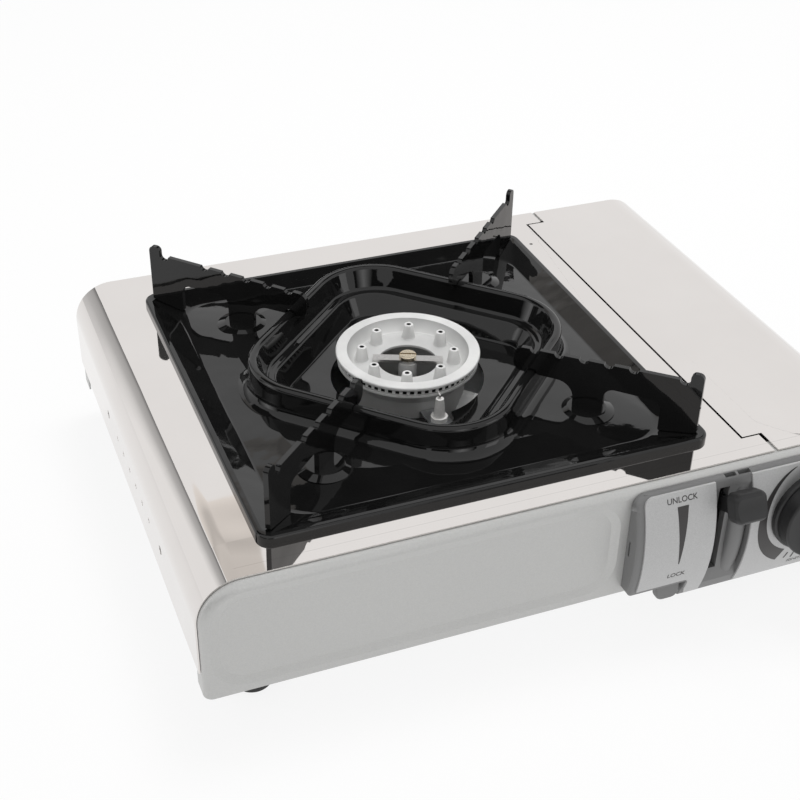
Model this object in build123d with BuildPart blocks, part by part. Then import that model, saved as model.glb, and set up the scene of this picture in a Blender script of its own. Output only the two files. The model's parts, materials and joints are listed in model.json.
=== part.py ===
from build123d import *
from math import atan2, cos, degrees, hypot, radians, sin, sqrt
import os

os.makedirs("parts", exist_ok=True)

# A single-burner camping stove that burns gas from a cartridge lying under the lid at its right.
# All sizes are in millimetres. The origin is on the table under the middle of the stove.
# X runs to the right as the cook sees it, Y runs to the back and Z runs up.

# Overall sizes
total_width = 340.0
body_depth = 255.0
front_reach = 30.0
plate_height = 81.0
panel_height = 58.4
foot_height = 8.5

# Sheet thickness and clearances
sheet = 0.8
enamel_sheet = 1.0
bend_radius = 2.0
seat_gap = 0.2
run_gap = 0.5
shaft_gap = 0.05
overrun = 6.0

# Places that follow from the overall sizes
half_width = total_width / 2
y_back = (body_depth + front_reach) / 2
y_plate = y_back - body_depth

# Top plate and cartridge lid
roll_radius = 20.0
skirt_drop = 46.0
back_lip = 2.0
lid_width = 79.8
lid_gap = 1.5
notch_gap = 1.8
tongue_width = 9.8
tongue_length = 13.0
tray_opening = 194.0
tray_opening_corner = 9.0
hinge_drop = 3.5
hinge_tab_radius = 2.5
hinge_pin_radius = 1.2
hinge_pin_tail = 1.5
hinge_head_radius = 2.0
hinge_head = 0.8
vent_radius = 1.4
vent_count = 6
vent_pitch = 13.4
end_vent_radius = 2.2
end_vent_spread = 111.0
vent_drop = 30.0
vent_shift = -3.2

skirt_z = plate_height - skirt_drop
y_plate_back = y_back - back_lip
plate_length = y_plate_back - y_plate
x_lid = half_width - lid_width
x_plate = x_lid - lid_gap
x_tongue = x_plate + tongue_width
hinge_x = x_tongue - hinge_tab_radius
hinge_z = plate_height - hinge_drop
y_tongue_front = y_plate + tongue_length
y_tongue_back = y_plate_back - tongue_length
y_ear_front = y_tongue_front + run_gap
y_ear_back = y_tongue_back - run_gap

# Centre of the burner, the drip tray and the pan supports
pan_from_left = 138.5
pan_from_back = 133.5
pan_x = pan_from_left - half_width
pan_y = y_back - pan_from_back

# Front and back panels
panel_lip = 4.0
panel_flange = 12.0
field_margin = 3.7
field_slope = 4.0
field_depth = 1.2
field_corner = 16.0
field_to_housing = 4.0
back_vent_count = 9
back_vent_pitch = 22.0
back_vent_length = 14.0
back_vent_width = 4.0
back_vent_drop = 24.0
back_screw_spread = 240.0
back_screw_radius = 1.5
back_screw_head_radius = 2.6
back_screw_head = 1.0
back_screw_length = 8.0

panel_inset = sheet + seat_gap
y_panel = y_plate - panel_lip
panel_bottom_z = plate_height - panel_height
field_side = half_width - panel_inset - field_margin
front_plane = Plane.XZ.offset(-y_panel)
back_plane = Plane(origin=(0, y_back, 0), x_dir=(-1, 0, 0), z_dir=(0, 1, 0))
back_screw_z = panel_bottom_z + field_margin + field_slope + back_screw_head_radius + run_gap
back_screw_seat = back_plane.offset(-field_depth)

# Base tray and feet
tray_side_recess = 3.0
tray_slope_run = 13.0
tray_slope_rise = 15.5
tray_wall = 12.0
tray_corner = 14.0
floor_slot_count = 7
floor_slot_pitch = 14.0
floor_slot_length = 60.0
floor_slot_width = 4.0
foot_radius = 9.0
foot_round = 2.0
foot_inset = 12.0
foot_pin_radius = 3.0
foot_pin_height = 4.0

base_half = half_width - tray_side_recess
base_front_y = y_panel + field_depth + sheet + seat_gap
base_back_y = y_back - field_depth - sheet - seat_gap
base_mid_y = (base_front_y + base_back_y) / 2
base_depth = base_back_y - base_front_y
floor_z = foot_height + sheet
kink_z = foot_height + tray_slope_rise
slope_wall = sheet * hypot(tray_slope_run, tray_slope_rise) / tray_slope_rise
inner_kink_z = kink_z + (slope_wall - sheet) * tray_slope_rise / tray_slope_run
inner_floor_inset = tray_slope_run - sheet * tray_slope_run / tray_slope_rise + slope_wall
foot_x = base_half - tray_slope_run - foot_inset
foot_front_y = base_front_y + tray_slope_run + foot_inset
foot_back_y = base_back_y - tray_slope_run - foot_inset

# Drip tray with its raised burner well
rim_size = 209.0
rim_corner = 10.0
rim_height = 5.0
rim_round = 1.4
basin_size = 202.0
basin_corner = 8.0
basin_floor_size = 160.0
basin_floor_corner = 14.0
basin_depth = 6.0
well_size = 127.4
well_corner = 32.0
well_rise = 16.0
bead_width = 3.0
bead_round = 1.4
well_ledge_in = 5.5
well_ledge_drop = 11.0
well_ledge_width = 4.0
well_ledge_round = 2.0
well_step_in = 6.0
well_step_drop = 10.0
well_seat = 4.0
well_hole_radius = 41.0
well_notch_radius = 7.0

rim_z = plate_height + seat_gap + rim_height
basin_floor_z = rim_z - basin_depth
bead_z = plate_height + well_rise
well_floor_z = bead_z - well_ledge_drop - well_step_drop
ledge_start = bead_width / 2 + well_ledge_in
ledge_end = ledge_start + well_ledge_width
well_floor_in = ledge_end + well_step_in

# Pan supports, in their own plane through the burner's axis
support_thickness = 2.4
support_reach = 143.0
support_tip = 54.0
spike_width = 6.0
spike_height = 34.0
spike_round = 2.6
grate_height = 29.6
grate_fall = 3.0
arm_height = 14.0
arm_round = 4.5
arch_radius = 8.0
foot_edge_round = 1.0
leg_from_bead = 18.8
leg_width = 14.5
window_share = 0.6
window_height = 15.5
window_round = 5.0
wave_count = 5
wave_first = 64.0
wave_end_gap = 23.4
wave_radius = 2.5
wave_depth = 2.1
notch_radius = 2.2
notch_from_end = 8.4

crest_reach = (basin_size / 2 - basin_corner) * sqrt(2) + basin_corner
floor_reach = (basin_floor_size / 2 - basin_floor_corner) * sqrt(2) + basin_floor_corner
rim_rest = rim_z + seat_gap - plate_height
floor_rest = basin_floor_z + seat_gap - plate_height
leg_inner = well_size / 2 + bead_width / 2 + leg_from_bead
leg_outer = leg_inner + leg_width
window_outer = leg_outer + (support_reach - leg_outer) * window_share
notch_reach = support_reach - notch_from_end
wave_pitch = (notch_reach - wave_end_gap - wave_first) / (wave_count - 1)

# Burner
burner_rise = 10.0
head_radius = 35.0
head_inner_radius = 30.0
head_lip = 1.9
head_round = 0.7
port_radius = 33.2
port_count = 60
port_width = 1.5
port_height = 2.8
port_wall = 2.0
head_floor_drop = 6.8
head_floor_radius = 26.0
head_hole_radius = 14.5
head_wall = 1.4
post_count = 8
post_circle = 22.3
post_base_radius = 3.2
post_top_radius = 2.2
post_bore_radius = 1.1
post_bore_depth = 3.0
post_proud = 0.6
flange_radius = 34.2
flange_thickness = 1.0
flange_bore_radius = 29.8
flare_radius = 32.0
flare_height = 8.0
base_radius = 28.0
base_height = 34.0
base_wall = 2.6
base_post_radius = 4.5
bridge_length = 34.0
bridge_width = 5.0
bridge_thickness = 1.4
screw_head_radius = 4.2
screw_head_height = 2.4
screw_radius = 2.0
screw_length = 12.0
screw_slot_width = 1.0
screw_slot_depth = 0.9
inlet_radius = 11.0
inlet_reach = 40.0
burner_bracket_half = 26.0
burner_bracket_width = 24.0
burner_bracket_flange = 10.0

burner_top_z = plate_height + burner_rise
port_z = burner_top_z - head_lip - port_height
flange_z = port_z - seat_gap
base_z = flange_z - base_height
head_floor_z = burner_top_z - head_floor_drop
post_height = head_floor_drop + post_proud
bridge_z = head_floor_z + seat_gap
bridge_angle = -180 / post_count
base_post_z = head_floor_z - seat_gap

# Ignition electrode in front of the burner
electrode_distance = 39.0
electrode_angle = -89.0
insulator_foot_radius = 4.0
insulator_foot = 2.4
insulator_base_radius = 2.9
insulator_top_radius = 1.9
insulator_rise = 12.0
insulator_below = 10.0
electrode_wire_radius = 0.6
electrode_wire_rise = 2.2
electrode_wire_bend = 1.2
spark_gap = 1.6
bracket_width = 11.0
bracket_drop = 9.0
bracket_past = 5.0

electrode_x = pan_x + electrode_distance * cos(radians(electrode_angle))
electrode_y = pan_y + electrode_distance * sin(radians(electrode_angle))
electrode_out = (cos(radians(electrode_angle)), sin(radians(electrode_angle)), 0)
electrode_side = (sin(radians(electrode_angle)), -cos(radians(electrode_angle)), 0)
tab_z = well_floor_z - enamel_sheet - run_gap
insulator_low_z = tab_z - insulator_below
insulator_top_z = tab_z + insulator_rise

# Control housing on the front panel
housing_width = 141.0
housing_start = 146.0
housing_top_drop = 2.4
housing_left_drop = 56.0
housing_right_drop = 66.4
housing_step = 30.0
housing_corner = 8.0
housing_small_corner = 4.0
housing_crown = 9.0
housing_draft_in = 5.4
housing_wall = 2.2
barrel_radius = 130.0
toe_from_left = 17.0
toe_width = 12.0
toe_drop = 68.5
toe_round = 4.0
toe_depth = 4.0
fascia_thickness = 0.6
fascia_margin = 3.6
fascia_end_margin = 2.4
fascia_corner = 2.0
channel_from_left = 39.5
channel_width = 18.5
channel_margin = 3.6
channel_ramp = 1.6
slot_width = 5.0
slot_height = 46.0
spindle_hole_radius = 8.0
top_slot_width = 13.0
top_slot_depth = 2.2
top_slot_cut = 1.6

housing_left = half_width - housing_start
housing_right = housing_left + housing_width
housing_top_z = plate_height - housing_top_drop
housing_left_z = plate_height - housing_left_drop
housing_right_z = plate_height - housing_right_drop
housing_step_x = housing_left + housing_step
housing_mid_z = (housing_top_z + housing_right_z) / 2
housing_y = y_panel - seat_gap
housing_plane = Plane.XZ.offset(-housing_y)
crown_y = housing_y - housing_crown
barrel_y = crown_y + barrel_radius
channel_left = housing_left + channel_from_left
channel_right = channel_left + channel_width
channel_floor_y = housing_y - housing_wall
fascia_top_z = housing_top_z - fascia_end_margin

# Lock lever
lever_from_channel = 5.0
lever_pivot_drop = 30.0
lever_pivot_in = 30.0
grip_radius = 44.0
lever_swing = 46.0
lever_thickness = 2.4
lever_width = 7.0
lever_hub_radius = 6.0
lever_hub_width = 6.0
lever_in_grip = 6.0
lever_window_width = 12.0
lever_window_height = 48.0
ear_half_width = 7.5
ear_half_depth = 6.0
ear_over_pivot = 7.0
shaft_radius = 3.0
shaft_tail = 2.0
crank_radius = 12.0
crank_width = 8.0
crank_thickness = 2.0
crank_pin_radius = 2.0
crank_pin_tail = 1.0
grip_overhang = 3.5
grip_width = 16.4
grip_height = 14.0
grip_depth = 11.0
grip_round = 3.4
grip_dish_radius = 16.0
grip_dish_depth = 1.2

lever_x = channel_left + lever_from_channel
lever_pivot_y = y_panel + lever_pivot_in
lever_pivot_z = plate_height - lever_pivot_drop
rest_angle = radians(lever_swing / 2)
lever_plane = Plane(
    origin=(lever_x, lever_pivot_y, lever_pivot_z),
    x_dir=(0, -cos(rest_angle), sin(rest_angle)),
    z_dir=(-1, 0, 0),
)
ear_left = lever_x - ear_half_width
ear_right = lever_x + ear_half_width
crank_pin_y = lever_pivot_y + crank_radius * sin(rest_angle)
crank_pin_z = lever_pivot_z + crank_radius * cos(rest_angle)
crank_pin_rise = crank_radius - crank_radius * cos(rest_angle)

# Control knob and valve spindle
knob_from_right = 55.5
knob_drop = 26.0
knob_radius = 22.0
knob_skirt = 3.0
knob_body_share = 0.94
knob_grip_width = 12.0
knob_grip_rise = 5.0
knob_round = 1.2
knob_bore = 8.0
spindle_radius = 3.0
spindle_in = 8.0
cam_in = 10.0
cam_radius = 8.0
cam_lobe = 13.0
cam_lobe_radius = 3.0
cam_thickness = 4.0

knob_x = half_width - knob_from_right
knob_z = plate_height - knob_drop
knob_back_y = crown_y - seat_gap - fascia_thickness - run_gap
knob_face_y = y_plate - front_reach
knob_height = knob_back_y - knob_face_y
knob_body_radius = knob_radius * knob_body_share
cam_y = y_panel + cam_in + cam_thickness

# Cartridge bay, sized for a standard cartridge lying along Y
cartridge_radius = 34.0
cartridge_from_right = 44.0
cartridge_room = 0.6
saddle_width = 18.0
saddle_angle = 42.0
saddle_inset = 60.0
shield_inset = 4.7
shield_flange = 7.0
bar_offset = 4.0
bar_thickness = 2.0
bar_height = 8.0
bar_eye_radius = 7.0
bar_end_inset = 18.0
bar_lip_height = 34.0
bar_lip_past = 10.0
bar_lip_round = 3.0
guide_width = 10.0
guide_wall = 1.0
guide_from_pivot = 40.0
guide_from_end = 34.0

cartridge_x = half_width - cartridge_from_right
cartridge_z = floor_z + sheet + cartridge_room + cartridge_radius
saddle_radius = cartridge_radius + cartridge_room - seat_gap
shield_x = x_plate - shield_inset
shield_front_y = base_front_y + tray_slope_run + run_gap
shield_back_y = base_back_y - tray_slope_run - run_gap
bar_x = shield_x + bar_offset
bar_end_y = y_back - bar_end_inset
crank_x = bar_x - run_gap - crank_thickness

# Valve block and gas path
valve_in = 16.0
valve_radius = 21.0
valve_length = 21.0
valve_foot_width = 16.0
valve_foot_margin = 4.0
outlet_radius = 6.0
outlet_length = 22.0
collar_radius = 15.0
collar_length = 6.0
collar_bore_radius = 8.0
collar_notch = 5.0
jet_from_shield = 12.0
jet_from_valve = 16.5
jet_rise = 26.7
jet_hex_radius = 5.4
jet_hex = 2.0
jet_radius = 4.0
jet_length = 12.0
jet_bore_radius = 0.8
tube_radius = 8.0
tube_wall = 1.0
tube_mouth_gap = 4.0
tube_stop = 30.0
tube_inlet_drop = 22.0
tube_hole_radius = 12.5
air_hole_radius = 2.6
air_hole_in = 4.5
piezo_from_knob = 13.5
piezo_in = 12.0
piezo_radius = 5.5
piezo_length = 18.0
piezo_top_drop = 41.0
plunger_radius = 2.2
plunger_length = 4.0
lead_radius = 1.4
lead_bend = 9.0
lead_rise = 5.0
lead_over_floor = 3.0
lead_turn_x = 60.0
lead_turn_y = 4.0
lead_drop_x = 30.0

valve_front_y = y_panel + valve_in
valve_back_y = valve_front_y + valve_length
jet_point = Vector(shield_x + jet_from_shield, valve_front_y + jet_from_valve, floor_z + jet_rise)
inlet_point = Vector(pan_x, pan_y, flange_z - tube_inlet_drop)
gas_line = inlet_point - jet_point
gas_run = gas_line.length
jet_plane = Plane(origin=jet_point, z_dir=gas_line)
inlet_plane = Plane(origin=inlet_point, z_dir=-gas_line)
shield_crossing = jet_point + gas_line * ((shield_x - jet_point.X) / gas_line.X)
piezo_x = knob_x - piezo_from_knob
piezo_y = y_panel + piezo_in
piezo_top_z = plate_height - piezo_top_drop
piezo_bottom_z = piezo_top_z - piezo_length


def panel_face(inset, extra):
    """Draw the front outline of the body, rounded at its two top corners."""
    with Locations((0, plate_height - inset)):
        Rectangle(total_width - 2 * inset, panel_height - inset + extra, align=(Align.CENTER, Align.MAX))
    fillet(vertices().group_by(Axis.Y)[-1], roll_radius - inset)


def field_loft(plane, left, right):
    """Cut the shallow pressed field of a panel, sloping in on every side."""
    field_top = plate_height - panel_inset - field_margin
    field_bottom = panel_bottom_z + field_margin
    sections = []
    for level, inset in ((0, 0), (field_depth, field_slope)):
        with BuildSketch(plane.offset(-level)) as section:
            with Locations(((left + right) / 2, (field_top + field_bottom) / 2)):
                width = right - left - 2 * inset
                height = field_top - field_bottom - 2 * inset
                RectangleRounded(width, height, field_corner - inset)
        sections.append(section.sketch)
    loft(sections, ruled=True, mode=Mode.SUBTRACT)


def pressed_panel(plane, pick, edge_radius, left, right):
    """Make a pressed panel with a rolled edge at its top and sides, open behind and below."""
    with BuildPart() as hollow:
        with BuildSketch(plane.offset(-sheet)):
            panel_face(panel_inset + sheet, overrun)
        extrude(amount=-panel_flange)
        fillet(faces().sort_by(Axis.Y)[pick].edges().sort_by(Axis.Z)[1:], edge_radius - sheet)
        field_loft(plane.offset(-sheet), left, right)
    with BuildPart() as panel:
        with BuildSketch(plane):
            panel_face(panel_inset, 0)
        extrude(amount=-panel_flange)
        fillet(faces().sort_by(Axis.Y)[pick].edges().sort_by(Axis.Z)[1:], edge_radius)
        field_loft(plane, left, right)
        add(hollow.part, mode=Mode.SUBTRACT)
    return panel.part


def housing_outline(inset):
    """Draw the front outline of the control housing, moved in by the inset on every side."""
    left = housing_left + inset
    right = housing_right - inset
    top = housing_top_z - inset
    step = housing_step_x + inset
    low_left = housing_left_z + inset
    low_right = housing_right_z + inset
    corners = [(left, top), (right, top), (right, low_right), (step, low_right), (step, low_left), (left, low_left)]
    rounds = [housing_corner] + [housing_small_corner] * (len(corners) - 1)
    with BuildLine() as outline:
        FilletPolyline(corners, radius=rounds, close=True)
    make_face(outline.edges())


def barrel(growth, mode):
    """Cut or keep what lies inside the round front of the housing, grown by the given amount."""
    with BuildSketch(Plane.YZ.offset(housing_left - overrun)) as disc:
        with Locations((barrel_y, housing_mid_z)):
            Circle(barrel_radius + growth)
    extrude(disc.sketch, amount=housing_width + 2 * overrun, mode=mode)


def housing_body(inset):
    """Make the drafted housing with its round front, moved in by the inset."""
    sections = []
    for level, draft in ((0, 0), (housing_crown + overrun, housing_draft_in)):
        with BuildSketch(housing_plane.offset(level)) as section:
            housing_outline(inset + draft)
        sections.append(section.sketch)
    loft(sections, ruled=True)
    barrel(-inset, Mode.INTERSECT)


def fascia(left, right, bottom):
    """Make a thin printed plate that lies on the round front of the housing."""
    with BuildSketch(housing_plane) as outline:
        with Locations(((left + right) / 2, (bottom + fascia_top_z) / 2)):
            RectangleRounded(right - left, fascia_top_z - bottom, fascia_corner)
    extrude(outline.sketch, amount=housing_crown + overrun)
    barrel(seat_gap + fascia_thickness, Mode.INTERSECT)
    barrel(seat_gap, Mode.SUBTRACT)


def basin_rest(reach):
    """Give the height where a support rests in the basin or on its rim, at a distance from the burner's axis."""
    share = (reach - floor_reach) / (crest_reach - floor_reach)
    return floor_rest + basin_depth * min(max(share, 0), 1)


# Top plate, bent down over the left side, with two tongues that carry the lid's hinge
with BuildPart() as top_plate:
    with BuildSketch(Plane.XZ.offset(-y_plate_back)):
        with BuildLine():
            FilletPolyline(
                (-half_width, skirt_z), (-half_width, plate_height), (x_plate, plate_height), radius=roll_radius
            )
            offset(amount=sheet, side=Side.RIGHT)
        make_face()
    extrude(amount=plate_length)
    with BuildSketch(Plane.XY.offset(plate_height)):
        for y_near, y_far in ((y_plate, y_tongue_front), (y_tongue_back, y_plate_back)):
            with Locations((x_plate, (y_near + y_far) / 2)):
                Rectangle(2 * tongue_width, tongue_length)
    extrude(amount=-sheet)
    for tab_y in (y_tongue_front, y_tongue_back + sheet):
        with BuildSketch(Plane.XZ.offset(-tab_y)):
            with Locations((hinge_x, hinge_z)):
                Circle(hinge_tab_radius)
                Rectangle(2 * hinge_tab_radius, hinge_drop, align=(Align.CENTER, Align.MIN))
                Circle(hinge_pin_radius + shaft_gap, mode=Mode.SUBTRACT)
        extrude(amount=sheet)
    with BuildSketch(Plane.XY.offset(plate_height - overrun)):
        with Locations((pan_x, pan_y)):
            RectangleRounded(tray_opening, tray_opening, tray_opening_corner)
    extrude(amount=2 * overrun, mode=Mode.SUBTRACT)
    with BuildSketch(Plane.YZ.offset(-half_width - overrun)):
        with Locations((pan_y + vent_shift, plate_height - vent_drop)):
            with GridLocations(vent_pitch, 0, vent_count, 1):
                Circle(vent_radius)
            with GridLocations(end_vent_spread, 0, 2, 1):
                Circle(end_vent_radius)
    extrude(amount=2 * overrun, mode=Mode.SUBTRACT)
top_plate.part.label = "top_plate"
export_step(top_plate.part, "parts/top_plate.step")

# Cartridge lid, bent down over the right side, with an ear beside each tongue
with BuildPart() as cartridge_lid:
    with BuildSketch(Plane.XZ.offset(-y_plate_back)):
        with BuildLine():
            FilletPolyline(
                (x_lid, plate_height), (half_width, plate_height), (half_width, skirt_z), radius=roll_radius
            )
            offset(amount=sheet, side=Side.RIGHT)
        make_face()
    extrude(amount=plate_length)
    with BuildSketch(Plane.XY.offset(plate_height - overrun)):
        for y_near, y_far in ((y_plate - overrun, y_ear_front), (y_ear_back, y_plate_back + overrun)):
            with Locations((x_tongue + notch_gap, (y_near + y_far) / 2)):
                Rectangle(tongue_width + overrun, y_far - y_near, align=(Align.MAX, Align.CENTER))
    extrude(amount=2 * overrun, mode=Mode.SUBTRACT)
    for ear_y in (y_ear_front + sheet, y_ear_back):
        with BuildSketch(Plane.XZ.offset(-ear_y)):
            with Locations((hinge_x, hinge_z)):
                Circle(hinge_tab_radius)
                Rectangle(2 * hinge_tab_radius, hinge_drop, align=(Align.CENTER, Align.MIN))
                Circle(hinge_pin_radius + shaft_gap, mode=Mode.SUBTRACT)
        extrude(amount=sheet)
cartridge_lid.part.label = "cartridge_lid"
export_step(cartridge_lid.part, "parts/cartridge_lid.step")

# Hinge pins, one through each tab and ear
with BuildPart() as hinge_pins:
    with BuildSketch(Plane.XZ.offset(-(y_ear_front + sheet + hinge_pin_tail))):
        with Locations((hinge_x, hinge_z)):
            Circle(hinge_pin_radius)
    extrude(amount=hinge_pin_tail + 2 * sheet + run_gap + seat_gap)
    with BuildSketch(Plane.XZ.offset(-(y_tongue_front - sheet - seat_gap))):
        with Locations((hinge_x, hinge_z)):
            Circle(hinge_head_radius)
    extrude(amount=hinge_head)
    mirror(about=Plane.XZ.offset(-(y_tongue_front + y_tongue_back) / 2))
hinge_pins.part.label = "hinge_pins"
export_step(hinge_pins.part, "parts/hinge_pins.step")

# Front panel, with openings for the lever and the spindle
with BuildPart() as front_panel:
    add(pressed_panel(front_plane, 0, panel_lip, -field_side, housing_left - field_to_housing))
    with BuildSketch(front_plane.offset(overrun)):
        with Locations((lever_x, lever_pivot_z)):
            Rectangle(lever_window_width, lever_window_height)
        with Locations((knob_x, knob_z)):
            Circle(spindle_hole_radius)
    extrude(amount=-2 * overrun, mode=Mode.SUBTRACT)
front_panel.part.label = "front_panel"
export_step(front_panel.part, "parts/front_panel.step")

# Back panel, with vent slots in its pressed field
with BuildPart() as back_panel:
    add(pressed_panel(back_plane, -1, back_lip, -field_side, field_side))
    with BuildSketch(back_plane.offset(overrun)):
        with Locations((0, plate_height - back_vent_drop)):
            with GridLocations(back_vent_pitch, 0, back_vent_count, 1):
                SlotOverall(back_vent_length, back_vent_width, rotation=90)
        with Locations((0, back_screw_z)):
            with GridLocations(back_screw_spread / 3, 0, 4, 1):
                Circle(back_screw_radius + shaft_gap)
    extrude(amount=-2 * overrun, mode=Mode.SUBTRACT)
back_panel.part.label = "back_panel"
export_step(back_panel.part, "parts/back_panel.step")

# Base tray with sloping sides, floor slots and a gap in its front wall for the lever
with BuildPart() as base_tray:
    for level, inset in ((foot_height, tray_slope_run), (kink_z, 0)):
        with BuildSketch(Plane.XY.offset(level)):
            with Locations((0, base_mid_y)):
                RectangleRounded(2 * (base_half - inset), base_depth - 2 * inset, tray_corner)
    loft(ruled=True)
    with BuildSketch(Plane.XY.offset(kink_z)):
        with Locations((0, base_mid_y)):
            RectangleRounded(2 * base_half, base_depth, tray_corner)
    extrude(amount=tray_wall)
    for level, inset in ((floor_z, inner_floor_inset), (inner_kink_z, sheet)):
        with BuildSketch(Plane.XY.offset(level)):
            with Locations((0, base_mid_y)):
                RectangleRounded(2 * (base_half - inset), base_depth - 2 * inset, tray_corner - sheet)
    loft(ruled=True, mode=Mode.SUBTRACT)
    with BuildSketch(Plane.XY.offset(inner_kink_z)):
        with Locations((0, base_mid_y)):
            RectangleRounded(2 * (base_half - sheet), base_depth - 2 * sheet, tray_corner - sheet)
    extrude(amount=tray_wall, mode=Mode.SUBTRACT)
    with BuildSketch(Plane.XY.offset(foot_height - overrun)):
        with Locations((pan_x, pan_y)):
            with GridLocations(floor_slot_pitch, 0, floor_slot_count, 1):
                SlotOverall(floor_slot_length, floor_slot_width, rotation=90)
        with Locations((0, (foot_front_y + foot_back_y) / 2)):
            with GridLocations(2 * foot_x, foot_back_y - foot_front_y, 2, 2):
                Circle(foot_pin_radius + shaft_gap)
    extrude(amount=2 * overrun, mode=Mode.SUBTRACT)
    with BuildSketch(front_plane.offset(overrun)):
        with Locations((lever_x, lever_pivot_z)):
            Rectangle(lever_window_width, lever_window_height)
    extrude(amount=-2 * overrun, mode=Mode.SUBTRACT)
    with BuildSketch(back_plane.offset(overrun)):
        with Locations((0, back_screw_z)):
            with GridLocations(back_screw_spread / 3, 0, 4, 1):
                Circle(back_screw_radius + shaft_gap)
    extrude(amount=-2 * overrun, mode=Mode.SUBTRACT)
base_tray.part.label = "base_tray"
export_step(base_tray.part, "parts/base_tray.step")

# Screws that hold the back panel to the base tray
with BuildPart() as back_screws:
    with BuildSketch(back_screw_seat):
        with Locations((0, back_screw_z)):
            with GridLocations(back_screw_spread / 3, 0, 4, 1):
                Circle(back_screw_head_radius)
    extrude(amount=back_screw_head)
    with BuildSketch(back_screw_seat):
        with Locations((0, back_screw_z)):
            with GridLocations(back_screw_spread / 3, 0, 4, 1):
                Circle(back_screw_radius)
    extrude(amount=-back_screw_length)
back_screws.part.label = "back_screws"
export_step(back_screws.part, "parts/back_screws.step")

# Four feet with pins that press through the base tray
foot_places = {
    "foot_front_left": (-foot_x, foot_front_y),
    "foot_front_right": (foot_x, foot_front_y),
    "foot_back_left": (-foot_x, foot_back_y),
    "foot_back_right": (foot_x, foot_back_y),
}
for foot_name, foot_place in foot_places.items():
    with BuildPart() as foot:
        with BuildSketch(Plane.XY):
            with Locations(foot_place):
                Circle(foot_radius)
        extrude(amount=foot_height)
        fillet(edges().group_by(Axis.Z)[0], foot_round)
        with BuildSketch(Plane.XY.offset(foot_height)):
            with Locations(foot_place):
                Circle(foot_pin_radius)
        extrude(amount=foot_pin_height)
    foot.part.label = foot_name
    export_step(foot.part, "parts/" + foot_name + ".step")

# Heat shield between the burner and the cartridge bay
with BuildPart() as heat_shield:
    with BuildSketch(Plane.XZ.offset(-shield_back_y)):
        with BuildLine():
            FilletPolyline(
                (shield_x - shield_flange, floor_z + seat_gap),
                (shield_x, floor_z + seat_gap),
                (shield_x, plate_height - sheet - seat_gap),
                (shield_x - shield_flange, plate_height - sheet - seat_gap),
                radius=bend_radius,
            )
            offset(amount=sheet, side=Side.LEFT)
        make_face()
    extrude(amount=shield_back_y - shield_front_y)
    with BuildSketch(Plane.YZ.offset(shield_x - overrun)):
        with Locations((lever_pivot_y, lever_pivot_z)):
            Circle(shaft_radius + run_gap)
        with Locations((shield_crossing.Y, shield_crossing.Z)):
            Circle(tube_hole_radius)
    extrude(amount=2 * overrun, mode=Mode.SUBTRACT)
heat_shield.part.label = "heat_shield"
export_step(heat_shield.part, "parts/heat_shield.step")

# Control housing, hollow behind its round front, with a ramped channel for the lever
with BuildPart() as housing_core:
    housing_body(housing_wall)
    with BuildSketch(housing_plane):
        with Locations(((channel_left + channel_right) / 2, housing_mid_z)):
            Rectangle(channel_width + 2 * housing_wall, housing_top_z - housing_right_z)
    extrude(amount=housing_crown + overrun, mode=Mode.SUBTRACT)
with BuildPart() as control_housing:
    housing_body(0)
    with BuildSketch(housing_plane):
        with Locations((housing_left + toe_from_left, plate_height - toe_drop)):
            toe_length = housing_left_z + overrun + toe_drop - plate_height
            Rectangle(toe_width, toe_length, align=(Align.MIN, Align.MIN))
        fillet(vertices().group_by(Axis.Y)[0], toe_round)
    extrude(amount=toe_depth)
    add(housing_core.part, mode=Mode.SUBTRACT)
    with BuildSketch(Plane.XY.offset(housing_right_z + channel_margin)):
        with BuildLine():
            Polyline(
                (channel_left, crown_y - overrun),
                (channel_left, channel_floor_y),
                (lever_x + slot_width / 2, channel_floor_y),
                (channel_right, crown_y + channel_ramp),
                (channel_right, crown_y - overrun),
                close=True,
            )
        make_face()
    extrude(amount=housing_top_z - housing_right_z - 2 * channel_margin, mode=Mode.SUBTRACT)
    with BuildSketch(housing_plane.offset(-overrun)):
        with Locations((lever_x, lever_pivot_z)):
            Rectangle(slot_width, slot_height)
        with Locations((knob_x, knob_z)):
            Circle(spindle_hole_radius)
    extrude(amount=housing_crown + 2 * overrun, mode=Mode.SUBTRACT)
    with BuildSketch(Plane.XY.offset(housing_top_z)):
        with Locations((channel_right, housing_y - top_slot_cut)):
            Rectangle(top_slot_width, top_slot_cut, align=(Align.MAX, Align.MAX))
    extrude(amount=-top_slot_depth, mode=Mode.SUBTRACT)
control_housing.part.label = "control_housing"
export_step(control_housing.part, "parts/control_housing.step")

# Printed plate left of the lever
with BuildPart() as lock_fascia:
    fascia(housing_left + fascia_margin, channel_left - seat_gap, housing_left_z + fascia_end_margin)
lock_fascia.part.label = "lock_fascia"
export_step(lock_fascia.part, "parts/lock_fascia.step")

# Printed plate around the knob
with BuildPart() as dial_fascia:
    fascia(channel_right + seat_gap, housing_right - fascia_margin, housing_right_z + fascia_end_margin)
    with BuildSketch(housing_plane):
        with Locations((knob_x, knob_z)):
            Circle(spindle_hole_radius)
    extrude(amount=housing_crown + overrun, mode=Mode.SUBTRACT)
dial_fascia.part.label = "dial_fascia"
export_step(dial_fascia.part, "parts/dial_fascia.step")

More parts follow.
